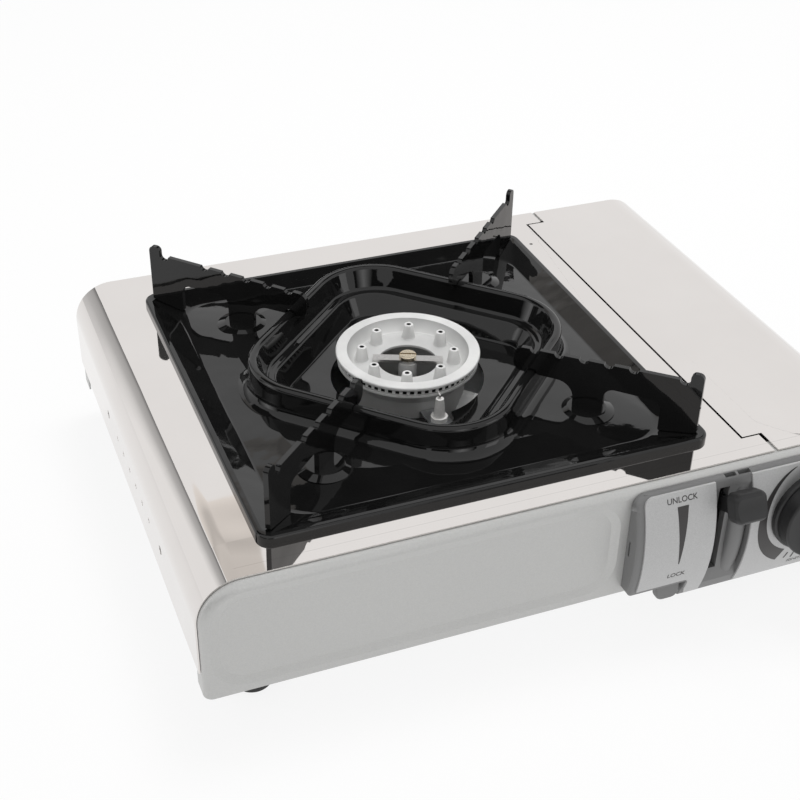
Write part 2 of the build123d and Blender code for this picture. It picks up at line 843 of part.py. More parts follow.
# Bracket that carries the lever's shaft
with BuildPart() as lever_bracket:
    with BuildSketch(Plane.XZ.offset(-(lever_pivot_y + ear_half_depth))):
        with BuildLine():
            FilletPolyline(
                (ear_left, lever_pivot_z + ear_over_pivot),
                (ear_left, floor_z + seat_gap),
                (ear_right, floor_z + seat_gap),
                (ear_right, lever_pivot_z + ear_over_pivot),
                radius=bend_radius,
            )
            offset(amount=sheet, side=Side.LEFT)
        make_face()
    extrude(amount=2 * ear_half_depth)
    with BuildSketch(Plane.YZ.offset(ear_left - overrun)):
        with Locations((lever_pivot_y, lever_pivot_z)):
            Circle(shaft_radius + shaft_gap)
    extrude(amount=2 * (ear_half_width + overrun), mode=Mode.SUBTRACT)
lever_bracket.part.label = "lever_bracket"
export_step(lever_bracket.part, "parts/lever_bracket.step")

# Lock lever, one welded piece of arm, hub, cross shaft, crank and pin
with BuildPart() as lock_lever:
    with BuildSketch(lever_plane):
        with Locations(((grip_radius + lever_in_grip) / 2, 0)):
            Rectangle(grip_radius + lever_in_grip, lever_width)
    extrude(amount=lever_thickness / 2, both=True)
    with BuildSketch(lever_plane):
        Circle(lever_hub_radius)
    extrude(amount=lever_hub_width / 2, both=True)
    with BuildSketch(Plane.YZ.offset(ear_left - shaft_tail)):
        with Locations((lever_pivot_y, lever_pivot_z)):
            Circle(shaft_radius)
    extrude(amount=crank_x + crank_thickness - ear_left + shaft_tail)
    with BuildSketch(Plane.YZ.offset(crank_x)):
        with Locations(((lever_pivot_y + crank_pin_y) / 2, (lever_pivot_z + crank_pin_z) / 2)):
            SlotCenterToCenter(crank_radius, crank_width, rotation=90 - lever_swing / 2)
    extrude(amount=crank_thickness)
    with BuildSketch(Plane.YZ.offset(crank_x)):
        with Locations((crank_pin_y, crank_pin_z)):
            Circle(crank_pin_radius)
    extrude(amount=bar_x + bar_thickness + crank_pin_tail - crank_x)
lock_lever.part.label = "lock_lever"
export_step(lock_lever.part, "parts/lock_lever.step")

# Grip pushed onto the end of the lever, with a dished front
with BuildPart() as lever_grip:
    with BuildSketch(lever_plane.offset(grip_overhang)):
        with Locations((grip_radius, 0)):
            Rectangle(grip_depth, grip_height, align=(Align.MIN, Align.CENTER))
    extrude(amount=-grip_width)
    fillet(edges(), grip_round)
    with BuildSketch(lever_plane.offset(grip_overhang)):
        with Locations((grip_radius + grip_depth - grip_dish_depth + grip_dish_radius, 0)):
            Circle(grip_dish_radius)
    extrude(amount=-grip_width, mode=Mode.SUBTRACT)
    with BuildSketch(lever_plane):
        with Locations((grip_radius + lever_in_grip + seat_gap, 0)):
            Rectangle(grip_depth, lever_width + 2 * seat_gap, align=(Align.MAX, Align.CENTER))
    extrude(amount=lever_thickness / 2 + seat_gap, both=True, mode=Mode.SUBTRACT)
lever_grip.part.label = "lever_grip"
export_step(lever_grip.part, "parts/lever_grip.step")

# Pull bar that draws the cartridge onto the valve, with a slotted eye for the crank pin
with BuildPart() as pull_bar:
    with BuildSketch(Plane.YZ.offset(bar_x)):
        with Locations((crank_pin_y, crank_pin_z)):
            Rectangle(bar_end_y - crank_pin_y, bar_height, align=(Align.MIN, Align.CENTER))
        with Locations((crank_pin_y, crank_pin_z + crank_pin_rise / 2)):
            Circle(bar_eye_radius)
            pin_slot = 2 * (crank_pin_radius + run_gap)
            SlotOverall(pin_slot + crank_pin_rise, pin_slot, rotation=90, mode=Mode.SUBTRACT)
    extrude(amount=bar_thickness)
    with BuildSketch(Plane.XZ.offset(-bar_end_y)):
        with Locations((bar_x, crank_pin_z + bar_height / 2)):
            lip_width = cartridge_x + bar_lip_past - bar_x
            Rectangle(lip_width, bar_lip_height, align=(Align.MIN, Align.MAX))
        fillet(vertices().group_by(Axis.X)[-1], bar_lip_round)
    extrude(amount=bar_thickness)
pull_bar.part.label = "pull_bar"
export_step(pull_bar.part, "parts/pull_bar.step")

# Two guides that hold the pull bar against the heat shield
guide_places = {
    "bar_guide_front": lever_pivot_y + guide_from_pivot,
    "bar_guide_rear": bar_end_y - guide_from_end,
}
for guide_name, guide_y in guide_places.items():
    with BuildPart() as bar_guide:
        with BuildSketch(Plane.XZ.offset(-(guide_y + guide_width / 2))):
            with Locations((shield_x + seat_gap, crank_pin_z)):
                guide_reach = bar_offset + bar_thickness + run_gap + guide_wall - seat_gap
                guide_height = bar_height + 2 * (run_gap + guide_wall)
                Rectangle(guide_reach, guide_height, align=(Align.MIN, Align.CENTER))
            with Locations((bar_x + bar_thickness / 2, crank_pin_z)):
                Rectangle(bar_thickness + 2 * run_gap, bar_height + 2 * run_gap, mode=Mode.SUBTRACT)
        extrude(amount=guide_width)
    bar_guide.part.label = guide_name
    export_step(bar_guide.part, "parts/" + guide_name + ".step")

# Two curved saddles for the cartridge
saddle_places = {
    "cartridge_saddle_front": shield_front_y + saddle_inset,
    "cartridge_saddle_rear": shield_back_y - saddle_inset,
}
for saddle_name, saddle_y in saddle_places.items():
    with BuildPart() as saddle:
        with BuildSketch(Plane.XZ.offset(-(saddle_y + saddle_width / 2))):
            with BuildLine():
                centre = (cartridge_x, cartridge_z)
                inner = CenterArc(centre, saddle_radius, -90 - saddle_angle, 2 * saddle_angle)
                outer = CenterArc(centre, saddle_radius + sheet, -90 - saddle_angle, 2 * saddle_angle)
                Line(inner @ 0, outer @ 0)
                Line(inner @ 1, outer @ 1)
            make_face()
        extrude(amount=saddle_width)
    saddle.part.label = saddle_name
    export_step(saddle.part, "parts/" + saddle_name + ".step")

# Valve block standing on the floor, with the spindle bore and the gas outlet
with BuildPart() as valve_block:
    with BuildSketch(Plane.XZ.offset(-valve_back_y)):
        with Locations((cartridge_x, cartridge_z)):
            Circle(valve_radius)
    extrude(amount=valve_length)
    with BuildSketch(Plane.XZ.offset(-(valve_back_y - valve_foot_margin))):
        with Locations((cartridge_x, floor_z + seat_gap)):
            foot_rise = cartridge_z - floor_z - seat_gap
            Rectangle(valve_foot_width, foot_rise, align=(Align.CENTER, Align.MIN))
    extrude(amount=valve_length - 2 * valve_foot_margin)
    with BuildSketch(jet_plane):
        Circle(outlet_radius)
    extrude(amount=-outlet_length)
    with BuildSketch(Plane.XZ.offset(-(valve_front_y + spindle_in))):
        with Locations((knob_x, knob_z)):
            Circle(spindle_radius + shaft_gap)
    extrude(amount=spindle_in + overrun, mode=Mode.SUBTRACT)
valve_block.part.label = "valve_block"
export_step(valve_block.part, "parts/valve_block.step")

# Collar that takes the neck of the cartridge, with a locating notch at its top
with BuildPart() as cartridge_collar:
    with BuildSketch(Plane.XZ.offset(-(valve_back_y + seat_gap))):
        with Locations((cartridge_x, cartridge_z)):
            Circle(collar_radius)
            Circle(collar_bore_radius, mode=Mode.SUBTRACT)
            Rectangle(collar_notch, collar_radius, align=(Align.CENTER, Align.MIN), mode=Mode.SUBTRACT)
    extrude(amount=-collar_length)
cartridge_collar.part.label = "cartridge_collar"
export_step(cartridge_collar.part, "parts/cartridge_collar.step")

# Gas jet screwed to the outlet
with BuildPart() as jet_nozzle:
    with BuildSketch(jet_plane):
        RegularPolygon(jet_hex_radius, 6)
    extrude(amount=jet_hex)
    with BuildSketch(jet_plane):
        Circle(jet_radius)
    extrude(amount=jet_length)
    with BuildSketch(jet_plane):
        Circle(jet_bore_radius)
    extrude(amount=jet_length, mode=Mode.SUBTRACT)
jet_nozzle.part.label = "jet_nozzle"
export_step(jet_nozzle.part, "parts/jet_nozzle.step")

# Mixing tube from the jet up to the burner, with air holes near the jet
with BuildPart() as mixing_tube:
    with BuildSketch(jet_plane.offset(tube_mouth_gap)):
        Circle(tube_radius)
    extrude(amount=gas_run - tube_mouth_gap - tube_stop)
    with BuildSketch(jet_plane.offset(tube_mouth_gap + tube_wall)):
        Circle(tube_radius - tube_wall)
    extrude(amount=gas_run, mode=Mode.SUBTRACT)
    with BuildSketch(jet_plane):
        Circle(jet_radius + shaft_gap)
    extrude(amount=tube_mouth_gap + overrun, mode=Mode.SUBTRACT)
    hole_point = jet_plane.offset(tube_mouth_gap + tube_wall + air_hole_in).origin
    for hole_direction in (jet_plane.x_dir, jet_plane.y_dir):
        with BuildSketch(Plane(origin=hole_point, z_dir=hole_direction)):
            Circle(air_hole_radius)
        extrude(amount=tube_radius + overrun, both=True, mode=Mode.SUBTRACT)
mixing_tube.part.label = "mixing_tube"
export_step(mixing_tube.part, "parts/mixing_tube.step")

# Hat-shaped bracket that carries the burner over the floor
with BuildPart() as burner_bracket:
    with BuildSketch(Plane.YZ.offset(pan_x - burner_bracket_width / 2)):
        hat_low_z = floor_z + seat_gap + sheet
        hat_high_z = base_z - seat_gap
        with BuildLine():
            FilletPolyline(
                (pan_y - burner_bracket_half - burner_bracket_flange, hat_low_z),
                (pan_y - burner_bracket_half, hat_low_z),
                (pan_y - burner_bracket_half, hat_high_z),
                (pan_y + burner_bracket_half, hat_high_z),
                (pan_y + burner_bracket_half, hat_low_z),
                (pan_y + burner_bracket_half + burner_bracket_flange, hat_low_z),
                radius=bend_radius,
            )
            offset(amount=sheet, side=Side.RIGHT)
        make_face()
    extrude(amount=burner_bracket_width)
burner_bracket.part.label = "burner_bracket"
export_step(burner_bracket.part, "parts/burner_bracket.step")

# Burner base, a cast cup with a flange, a middle post and an inlet for the mixing tube
burner_axis = Axis((pan_x, pan_y, 0), (0, 0, 1))
burner_section = Plane(origin=(pan_x, pan_y, 0), x_dir=(1, 0, 0), z_dir=(0, -1, 0))
with BuildPart() as burner_base:
    with BuildSketch(burner_section):
        with BuildLine():
            Polyline(
                (0, base_z),
                (base_radius, base_z),
                (base_radius, flange_z - flare_height),
                (flare_radius, flange_z - flange_thickness),
                (flange_radius, flange_z - flange_thickness),
                (flange_radius, flange_z),
                (flange_bore_radius, flange_z),
                (flange_bore_radius, flange_z - base_wall),
                (base_radius - base_wall, flange_z - flare_height),
                (base_radius - base_wall, base_z + base_wall),
                (base_post_radius, base_z + base_wall),
                (base_post_radius, base_post_z),
                (screw_radius + shaft_gap, base_post_z),
                (screw_radius + shaft_gap, bridge_z - screw_length),
                (0, bridge_z - screw_length),
                close=True,
            )
        make_face()
    revolve(axis=burner_axis)
    inlet_start = sqrt(base_radius**2 - inlet_radius**2)
    with BuildSketch(inlet_plane.offset(inlet_start)):
        Circle(inlet_radius)
    extrude(amount=inlet_reach - inlet_start)
    with BuildSketch(inlet_plane.offset(base_radius - base_wall - tube_radius)):
        Circle(tube_radius + shaft_gap)
    extrude(amount=inlet_reach, mode=Mode.SUBTRACT)
burner_base.part.label = "burner_base"
export_step(burner_base.part, "parts/burner_base.step")

# Burner head, a bowl with slotted ports under its ring and tapered posts on its floor
with BuildPart() as burner_head:
    with BuildSketch(burner_section):
        with BuildLine():
            FilletPolyline(
                (head_hole_radius, head_floor_z),
                (head_floor_radius, head_floor_z),
                (head_inner_radius, burner_top_z),
                (head_radius, burner_top_z),
                (head_radius, burner_top_z - head_lip),
                (port_radius, burner_top_z - head_lip),
                (port_radius, port_z),
                (port_radius - port_wall, port_z),
                (port_radius - port_wall, burner_top_z - head_lip),
                (head_inner_radius + head_wall / 2, burner_top_z - head_lip),
                (head_floor_radius + head_wall, head_floor_z - head_wall),
                (head_hole_radius, head_floor_z - head_wall),
                radius=[0, 0, head_round, head_round, head_round] + [0] * 7,
                close=True,
            )
        make_face()
    revolve(axis=burner_axis)
    with BuildSketch(Plane.XY.offset(port_z)):
        with Locations((pan_x, pan_y)):
            with PolarLocations(port_radius - port_wall / 2, port_count):
                Rectangle(2 * port_wall, port_width)
    extrude(amount=port_height, mode=Mode.SUBTRACT)
    with BuildSketch(Plane.XY.offset(head_floor_z)):
        with Locations((pan_x, pan_y)):
            with PolarLocations(post_circle, post_count, start_angle=180 / post_count):
                Circle(post_base_radius)
    extrude(amount=post_height, taper=degrees(atan2(post_base_radius - post_top_radius, post_height)))
    with BuildSketch(Plane.XY.offset(head_floor_z + post_height)):
        with Locations((pan_x, pan_y)):
            with PolarLocations(post_circle, post_count, start_angle=180 / post_count):
                Circle(post_bore_radius)
    extrude(amount=-post_bore_depth, mode=Mode.SUBTRACT)
burner_head.part.label = "burner_head"
export_step(burner_head.part, "parts/burner_head.step")

# Bridge across the head's opening
with BuildPart() as burner_bridge:
    with BuildSketch(Plane.XY.offset(bridge_z)):
        with Locations((pan_x, pan_y)):
            Rectangle(bridge_length, bridge_width, rotation=bridge_angle)
            Circle(screw_radius + shaft_gap, mode=Mode.SUBTRACT)
    extrude(amount=bridge_thickness)
burner_bridge.part.label = "burner_bridge"
export_step(burner_bridge.part, "parts/burner_bridge.step")

# Screw that clamps the bridge and the head to the base
with BuildPart() as burner_screw:
    with BuildSketch(Plane.XY.offset(bridge_z + bridge_thickness)):
        with Locations((pan_x, pan_y)):
            Circle(screw_head_radius)
    extrude(amount=screw_head_height)
    fillet(edges().group_by(Axis.Z)[-1], head_round)
    with BuildSketch(Plane.XY.offset(bridge_z + bridge_thickness + screw_head_height)):
        with Locations((pan_x, pan_y)):
            Rectangle(2 * screw_head_radius, screw_slot_width, rotation=bridge_angle)
    extrude(amount=-screw_slot_depth, mode=Mode.SUBTRACT)
    with BuildSketch(Plane.XY.offset(bridge_z + bridge_thickness)):
        with Locations((pan_x, pan_y)):
            Circle(screw_radius)
    extrude(amount=-(screw_length - seat_gap))
burner_screw.part.label = "burner_screw"
export_step(burner_screw.part, "parts/burner_screw.step")

# Bracket that holds the electrode beside the burner base
electrode_section = Plane(origin=(pan_x, pan_y, 0), x_dir=electrode_out, z_dir=electrode_side)
with BuildPart() as electrode_bracket:
    with BuildSketch(electrode_section):
        with BuildLine():
            FilletPolyline(
                (base_radius + seat_gap, tab_z - bracket_drop),
                (base_radius + seat_gap, tab_z),
                (electrode_distance + bracket_past, tab_z),
                radius=bend_radius,
            )
            offset(amount=sheet, side=Side.RIGHT)
        make_face()
    extrude(amount=bracket_width / 2, both=True)
    with BuildSketch(Plane.XY.offset(tab_z - overrun)):
        with Locations((electrode_x, electrode_y)):
            Circle(insulator_base_radius + shaft_gap)
    extrude(amount=2 * overrun, mode=Mode.SUBTRACT)
electrode_bracket.part.label = "electrode_bracket"
export_step(electrode_bracket.part, "parts/electrode_bracket.step")

# Ceramic insulator standing on its foot in the bracket
insulator_section = Plane(origin=(electrode_x, electrode_y, tab_z), x_dir=(1, 0, 0), z_dir=(0, -1, 0))
with BuildPart() as electrode_insulator:
    with BuildSketch(insulator_section):
        with BuildLine():
            Polyline(
                (electrode_wire_radius + shaft_gap, -insulator_below),
                (insulator_base_radius, -insulator_below),
                (insulator_base_radius, seat_gap),
                (insulator_foot_radius, seat_gap),
                (insulator_foot_radius, insulator_foot),
                (insulator_base_radius, insulator_foot),
                (insulator_top_radius, insulator_rise),
                (electrode_wire_radius + shaft_gap, insulator_rise),
                close=True,
            )
        make_face()
    revolve(axis=Axis((electrode_x, electrode_y, 0), (0, 0, 1)))
electrode_insulator.part.label = "electrode_insulator"
export_step(electrode_insulator.part, "parts/electrode_insulator.step")

# Spark wire, bent towards the burner's ports
wire_tip = head_radius + spark_gap
wire_top_z = insulator_top_z + electrode_wire_rise
with BuildPart() as electrode_wire:
    with BuildLine(electrode_section) as wire_path:
        FilletPolyline(
            (electrode_distance, insulator_low_z),
            (electrode_distance, wire_top_z),
            (wire_tip, wire_top_z),
            radius=electrode_wire_bend,
        )
    with BuildSketch(Plane.XY.offset(insulator_low_z)):
        with Locations((electrode_x, electrode_y)):
            Circle(electrode_wire_radius)
    sweep(path=wire_path.wires()[0])
electrode_wire.part.label = "electrode_wire"
export_step(electrode_wire.part, "parts/electrode_wire.step")

# Spark igniter, standing left of the spindle where the cam can press it
with BuildPart() as piezo_igniter:
    with BuildSketch(Plane.XY.offset(piezo_bottom_z)):
        with Locations((piezo_x, piezo_y)):
            Circle(piezo_radius)
    extrude(amount=piezo_length)
    with BuildSketch(Plane.XY.offset(piezo_top_z)):
        with Locations((piezo_x, piezo_y)):
            Circle(plunger_radius)
    extrude(amount=plunger_length)
piezo_igniter.part.label = "piezo_igniter"
export_step(piezo_igniter.part, "parts/piezo_igniter.step")

# Ignition lead, along the floor from the igniter to the electrode
lead_z = floor_z + lead_over_floor
lead_points = [
    (piezo_x - piezo_radius - seat_gap, piezo_y, piezo_bottom_z + lead_rise),
    (lead_turn_x, piezo_y, piezo_bottom_z + lead_rise),
    (lead_drop_x, shield_front_y + lead_turn_y, lead_z),
    (electrode_x, electrode_y, lead_z),
    (electrode_x, electrode_y, insulator_low_z - seat_gap),
]
with BuildPart() as ignition_lead:
    with BuildLine() as lead_path:
        FilletPolyline(lead_points, radius=lead_bend)
    lead_wire = lead_path.wires()[0]
    with BuildSketch(Plane(origin=lead_wire @ 0, z_dir=lead_wire % 0)):
        Circle(lead_radius)
    sweep(path=lead_wire)
ignition_lead.part.label = "ignition_lead"
export_step(ignition_lead.part, "parts/ignition_lead.step")

# Control knob with a raised grip bar
with BuildPart() as control_knob:
    with BuildSketch(Plane.XZ.offset(-knob_back_y)):
        with Locations((knob_x, knob_z)):
            Circle(knob_radius)
    extrude(amount=knob_skirt)
    fillet(edges().group_by(Axis.Y)[0], knob_round)
    with BuildSketch(Plane.XZ.offset(-knob_back_y)):
        with Locations((knob_x, knob_z)):
            Circle(knob_body_radius)
    extrude(amount=knob_height - knob_grip_rise)
    fillet(edges().group_by(Axis.Y)[0], knob_round)
    with BuildSketch(Plane.XZ.offset(-knob_back_y)):
        with Locations((knob_x, knob_z)):
            Circle(knob_body_radius - knob_round)
            Rectangle(knob_grip_width, 2 * knob_radius, mode=Mode.INTERSECT)
    extrude(amount=knob_height)
    fillet(edges().group_by(Axis.Y)[0], knob_round)
    with BuildSketch(Plane.XZ.offset(-knob_back_y)):
        with Locations((knob_x, knob_z)):
            Circle(spindle_radius + shaft_gap)
    extrude(amount=knob_bore, mode=Mode.SUBTRACT)
control_knob.part.label = "control_knob"
export_step(control_knob.part, "parts/control_knob.step")

# Spindle from the knob into the valve block
with BuildPart() as valve_spindle:
    with BuildSketch(Plane.XZ.offset(-(valve_front_y + spindle_in - seat_gap))):
        with Locations((knob_x, knob_z)):
            Circle(spindle_radius)
    extrude(amount=valve_front_y + spindle_in - knob_back_y + knob_bore - 2 * seat_gap)
valve_spindle.part.label = "valve_spindle"
export_step(valve_spindle.part, "parts/valve_spindle.step")

# Cam on the spindle, its lobe up when the gas is off
with BuildPart() as igniter_cam:
    with BuildSketch(Plane.XZ.offset(-cam_y)):
        with Locations((knob_x, knob_z)):
            Circle(cam_radius)
            Rectangle(2 * cam_lobe_radius, cam_lobe - cam_lobe_radius, align=(Align.CENTER, Align.MIN))
        with Locations((knob_x, knob_z + cam_lobe - cam_lobe_radius)):
            Circle(cam_lobe_radius)
        with Locations((knob_x, knob_z)):
            Circle(spindle_radius + shaft_gap, mode=Mode.SUBTRACT)
    extrude(amount=cam_thickness)
igniter_cam.part.label = "igniter_cam"
export_step(igniter_cam.part, "parts/igniter_cam.step")

# Drip tray with a hollow rim that sits on the top plate and a sloping basin
well_opening = well_size - 2 * well_seat
with BuildPart() as drip_tray:
    with BuildSketch(Plane.XY.offset(plate_height + seat_gap)):
        with Locations((pan_x, pan_y)):
            RectangleRounded(rim_size, rim_size, rim_corner)
    extrude(amount=rim_height)
    fillet(edges().group_by(Axis.Z)[-1], rim_round)
    with BuildSketch(Plane.XY.offset(plate_height + seat_gap)):
        with Locations((pan_x, pan_y)):
            hollow_size = rim_size - 2 * enamel_sheet
            RectangleRounded(hollow_size, hollow_size, rim_corner - enamel_sheet)
    extrude(amount=rim_height - enamel_sheet, mode=Mode.SUBTRACT)
    for level, size, corner in (
        (rim_z - enamel_sheet, basin_size, basin_corner),
        (basin_floor_z - enamel_sheet, basin_floor_size, basin_floor_corner),
    ):
        with BuildSketch(Plane.XY.offset(level)):
            with Locations((pan_x, pan_y)):
                RectangleRounded(size, size, corner)
    loft(ruled=True)
    for level, size, corner in (
        (rim_z, basin_size, basin_corner),
        (basin_floor_z, basin_floor_size, basin_floor_corner),
    ):
        with BuildSketch(Plane.XY.offset(level)):
            with Locations((pan_x, pan_y)):
                RectangleRounded(size, size, corner)
    loft(ruled=True, mode=Mode.SUBTRACT)
    with BuildSketch(Plane.XY.offset(basin_floor_z + overrun)):
        with Locations((pan_x, pan_y)):
            RectangleRounded(well_opening, well_opening, well_corner - well_seat, rotation=45)
    extrude(amount=-2 * overrun, mode=Mode.SUBTRACT)
drip_tray.part.label = "drip_tray"
export_step(drip_tray.part, "parts/drip_tray.step")

# Burner well, one pressing that rises from the basin to a bead and steps down around the burner
with BuildSketch(Plane.XY.offset(bead_z)) as well_outline:
    with Locations((pan_x, pan_y)):
        RectangleRounded(well_size, well_size, well_corner, rotation=45)
well_wire = well_outline.sketch.face().outer_wire()
well_section = Plane(
    origin=well_wire @ 0,
    x_dir=Vector(0, 0, 1).cross(well_wire % 0),
    z_dir=well_wire % 0,
)
with BuildPart() as burner_well:
    with BuildSketch(well_section):
        with BuildLine():
            FilletPolyline(
                (-bead_width / 2, basin_floor_z + seat_gap - bead_z),
                (-bead_width / 2, 0),
                (bead_width / 2, 0),
                (ledge_start, -well_ledge_drop),
                (ledge_end, -well_ledge_drop),
                (well_floor_in, -well_ledge_drop - well_step_drop),
                (well_floor_in + well_ledge_round, -well_ledge_drop - well_step_drop),
                radius=[bead_round, bead_round, well_ledge_round, well_ledge_round, 0],
            )
            offset(amount=enamel_sheet, side=Side.RIGHT)
        make_face()
    sweep(path=well_wire)
    well_floor_size = well_size - 2 * well_floor_in
    with BuildSketch(Plane.XY.offset(well_floor_z)):
        with Locations((pan_x, pan_y)):
            RectangleRounded(well_floor_size, well_floor_size, well_corner - well_floor_in, rotation=45)
            Circle(well_hole_radius, mode=Mode.SUBTRACT)
        with Locations((electrode_x, electrode_y)):
            Circle(well_notch_radius, mode=Mode.SUBTRACT)
    extrude(amount=-enamel_sheet)
burner_well.part.label = "burner_well"
export_step(burner_well.part, "parts/burner_well.step")

# Four pan supports, standing on the basin and hooked over the bead
support_angles = {
    "pan_support_back_right": 45,
    "pan_support_back_left": 135,
    "pan_support_front_left": 225,
    "pan_support_front_right": 315,
}
top_slope = grate_fall / (notch_reach - support_tip)
wall_lean = well_ledge_in * (well_rise + run_gap - arm_height) / well_ledge_drop
bead_notch = bead_width + 2 * run_gap + wall_lean
support_corners = [
    (support_tip, grate_height - grate_fall, arm_round),
    (support_reach - spike_width, grate_height, 0),
    (support_reach - spike_width, spike_height, spike_round),
    (support_reach, spike_height, spike_round),
    (support_reach, basin_rest(support_reach), foot_edge_round),
]
if support_reach > crest_reach:
    support_corners.append((crest_reach, rim_rest, 0))
support_corners += [
    (window_outer, basin_rest(window_outer), foot_edge_round),
    (window_outer, window_height, window_round),
    (leg_outer, window_height, window_round),
    (leg_outer, floor_rest, foot_edge_round),
    (leg_inner, floor_rest, foot_edge_round),
    (leg_inner, arm_height, arch_radius),
    (support_tip, arm_height, arm_round),
]
support_outline = [(reach, height) for reach, height, round_radius in support_corners]
support_rounds = [round_radius for reach, height, round_radius in support_corners]
for support_name, support_angle in support_angles.items():
    turn = radians(support_angle)
    support_plane = Plane(
        origin=(pan_x, pan_y, plate_height),
        x_dir=(cos(turn), sin(turn), 0),
        z_dir=(sin(turn), -cos(turn), 0),
    )
    with BuildPart() as pan_support:
        with BuildSketch(support_plane):
            with BuildLine():
                FilletPolyline(support_outline, radius=support_rounds, close=True)
            make_face()
            with Locations((notch_reach, grate_height)):
                Circle(notch_radius, mode=Mode.SUBTRACT)
            for wave in range(wave_count):
                wave_reach = wave_first + wave * wave_pitch
                wave_line = grate_height - top_slope * (notch_reach - wave_reach)
                with Locations((wave_reach, wave_line + wave_radius - wave_depth)):
                    Circle(wave_radius, mode=Mode.SUBTRACT)
            with Locations((well_size / 2 + bead_width / 2 + run_gap, well_rise + run_gap)):
                Rectangle(bead_notch, overrun, align=(Align.MAX, Align.MAX), mode=Mode.SUBTRACT)
        extrude(amount=support_thickness / 2, both=True)
    pan_support.part.label = support_name
    export_step(pan_support.part, "parts/" + support_name + ".step")
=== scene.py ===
"""The looks of a single-burner cartridge stove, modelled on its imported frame."""

import json
from math import cos, pi, radians, sin, sqrt, tan

import bmesh
import bpy
from bpy.props import FloatProperty, FloatVectorProperty, IntProperty, PointerProperty
from mathutils import Matrix, Vector


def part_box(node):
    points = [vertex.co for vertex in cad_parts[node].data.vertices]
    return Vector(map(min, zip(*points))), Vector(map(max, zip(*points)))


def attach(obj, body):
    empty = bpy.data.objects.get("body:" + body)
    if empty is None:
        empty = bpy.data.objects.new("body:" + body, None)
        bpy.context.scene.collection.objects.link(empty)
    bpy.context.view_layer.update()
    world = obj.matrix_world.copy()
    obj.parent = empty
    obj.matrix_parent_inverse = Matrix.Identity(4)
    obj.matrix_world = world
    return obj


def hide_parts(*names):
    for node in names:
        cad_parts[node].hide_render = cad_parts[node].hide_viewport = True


bl_info = {
    "name": "Cartridge Stove",
    "version": (1, 0, 0),
    "blender": (4, 5, 0),
    "location": "View3D > Sidebar > Stove",
    "description": "Models and finishes the visible pieces of a cartridge stove",
    "category": "Object",
}

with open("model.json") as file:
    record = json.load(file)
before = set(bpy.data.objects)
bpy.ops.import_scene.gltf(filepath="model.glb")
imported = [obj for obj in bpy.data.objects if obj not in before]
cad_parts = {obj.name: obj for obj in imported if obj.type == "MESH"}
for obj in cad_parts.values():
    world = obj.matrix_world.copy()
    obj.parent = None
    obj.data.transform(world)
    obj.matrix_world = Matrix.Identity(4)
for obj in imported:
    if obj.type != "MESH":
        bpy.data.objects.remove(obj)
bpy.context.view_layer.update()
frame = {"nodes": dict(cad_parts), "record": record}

MM = 0.001
ACROSS, BACK, UP = Vector((1, 0, 0)), Vector((0, 1, 0)), Vector((0, 0, 1))
PLATE_LOW, PLATE_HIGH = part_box("top_plate")
LID_LOW, LID_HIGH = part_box("cartridge_lid")
TRAY_LOW, TRAY_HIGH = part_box("drip_tray")
HOUSING_LOW, HOUSING_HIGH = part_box("control_housing")
WELL_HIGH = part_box("burner_well")[1]
HEAD_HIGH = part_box("burner_head")[1]
PAN = (TRAY_LOW + TRAY_HIGH) / 2

# How far a cutter reaches past a sheet
CUT = 5 * MM
# Steps in each corner of the burner well and of its hole in the tray
WELL_STEPS = 16
# Radii of the burner head and heights over its ring, in millimetres, that its shape and its finish share
POST_CIRCLE, FLOOR_EDGE, RING_EDGE, PORT_FACE = 22.3, 26.0, 29.6, 33.2
POST_TOP, PORT_TOP, PORT_FOOT, FLOOR_TOP = 0.6, -1.9, -4.7, -6.8

# The solid that is coated over the metal of its slot
COATED = {"lock_lever": "black_plastic"}


# Sizes and colours


def length(text, default):
    """A length property, its default given in millimetres."""
    return FloatProperty(name=text, default=default * MM, unit="LENGTH", precision=5)


def number(text, default):
    """A property that counts steps or copies."""
    return IntProperty(name=text, default=default, min=3)


def colour(text, default):
    """A colour property in linear light."""
    return FloatVectorProperty(name=text, default=default, subtype="COLOR", size=3, min=0, max=1)


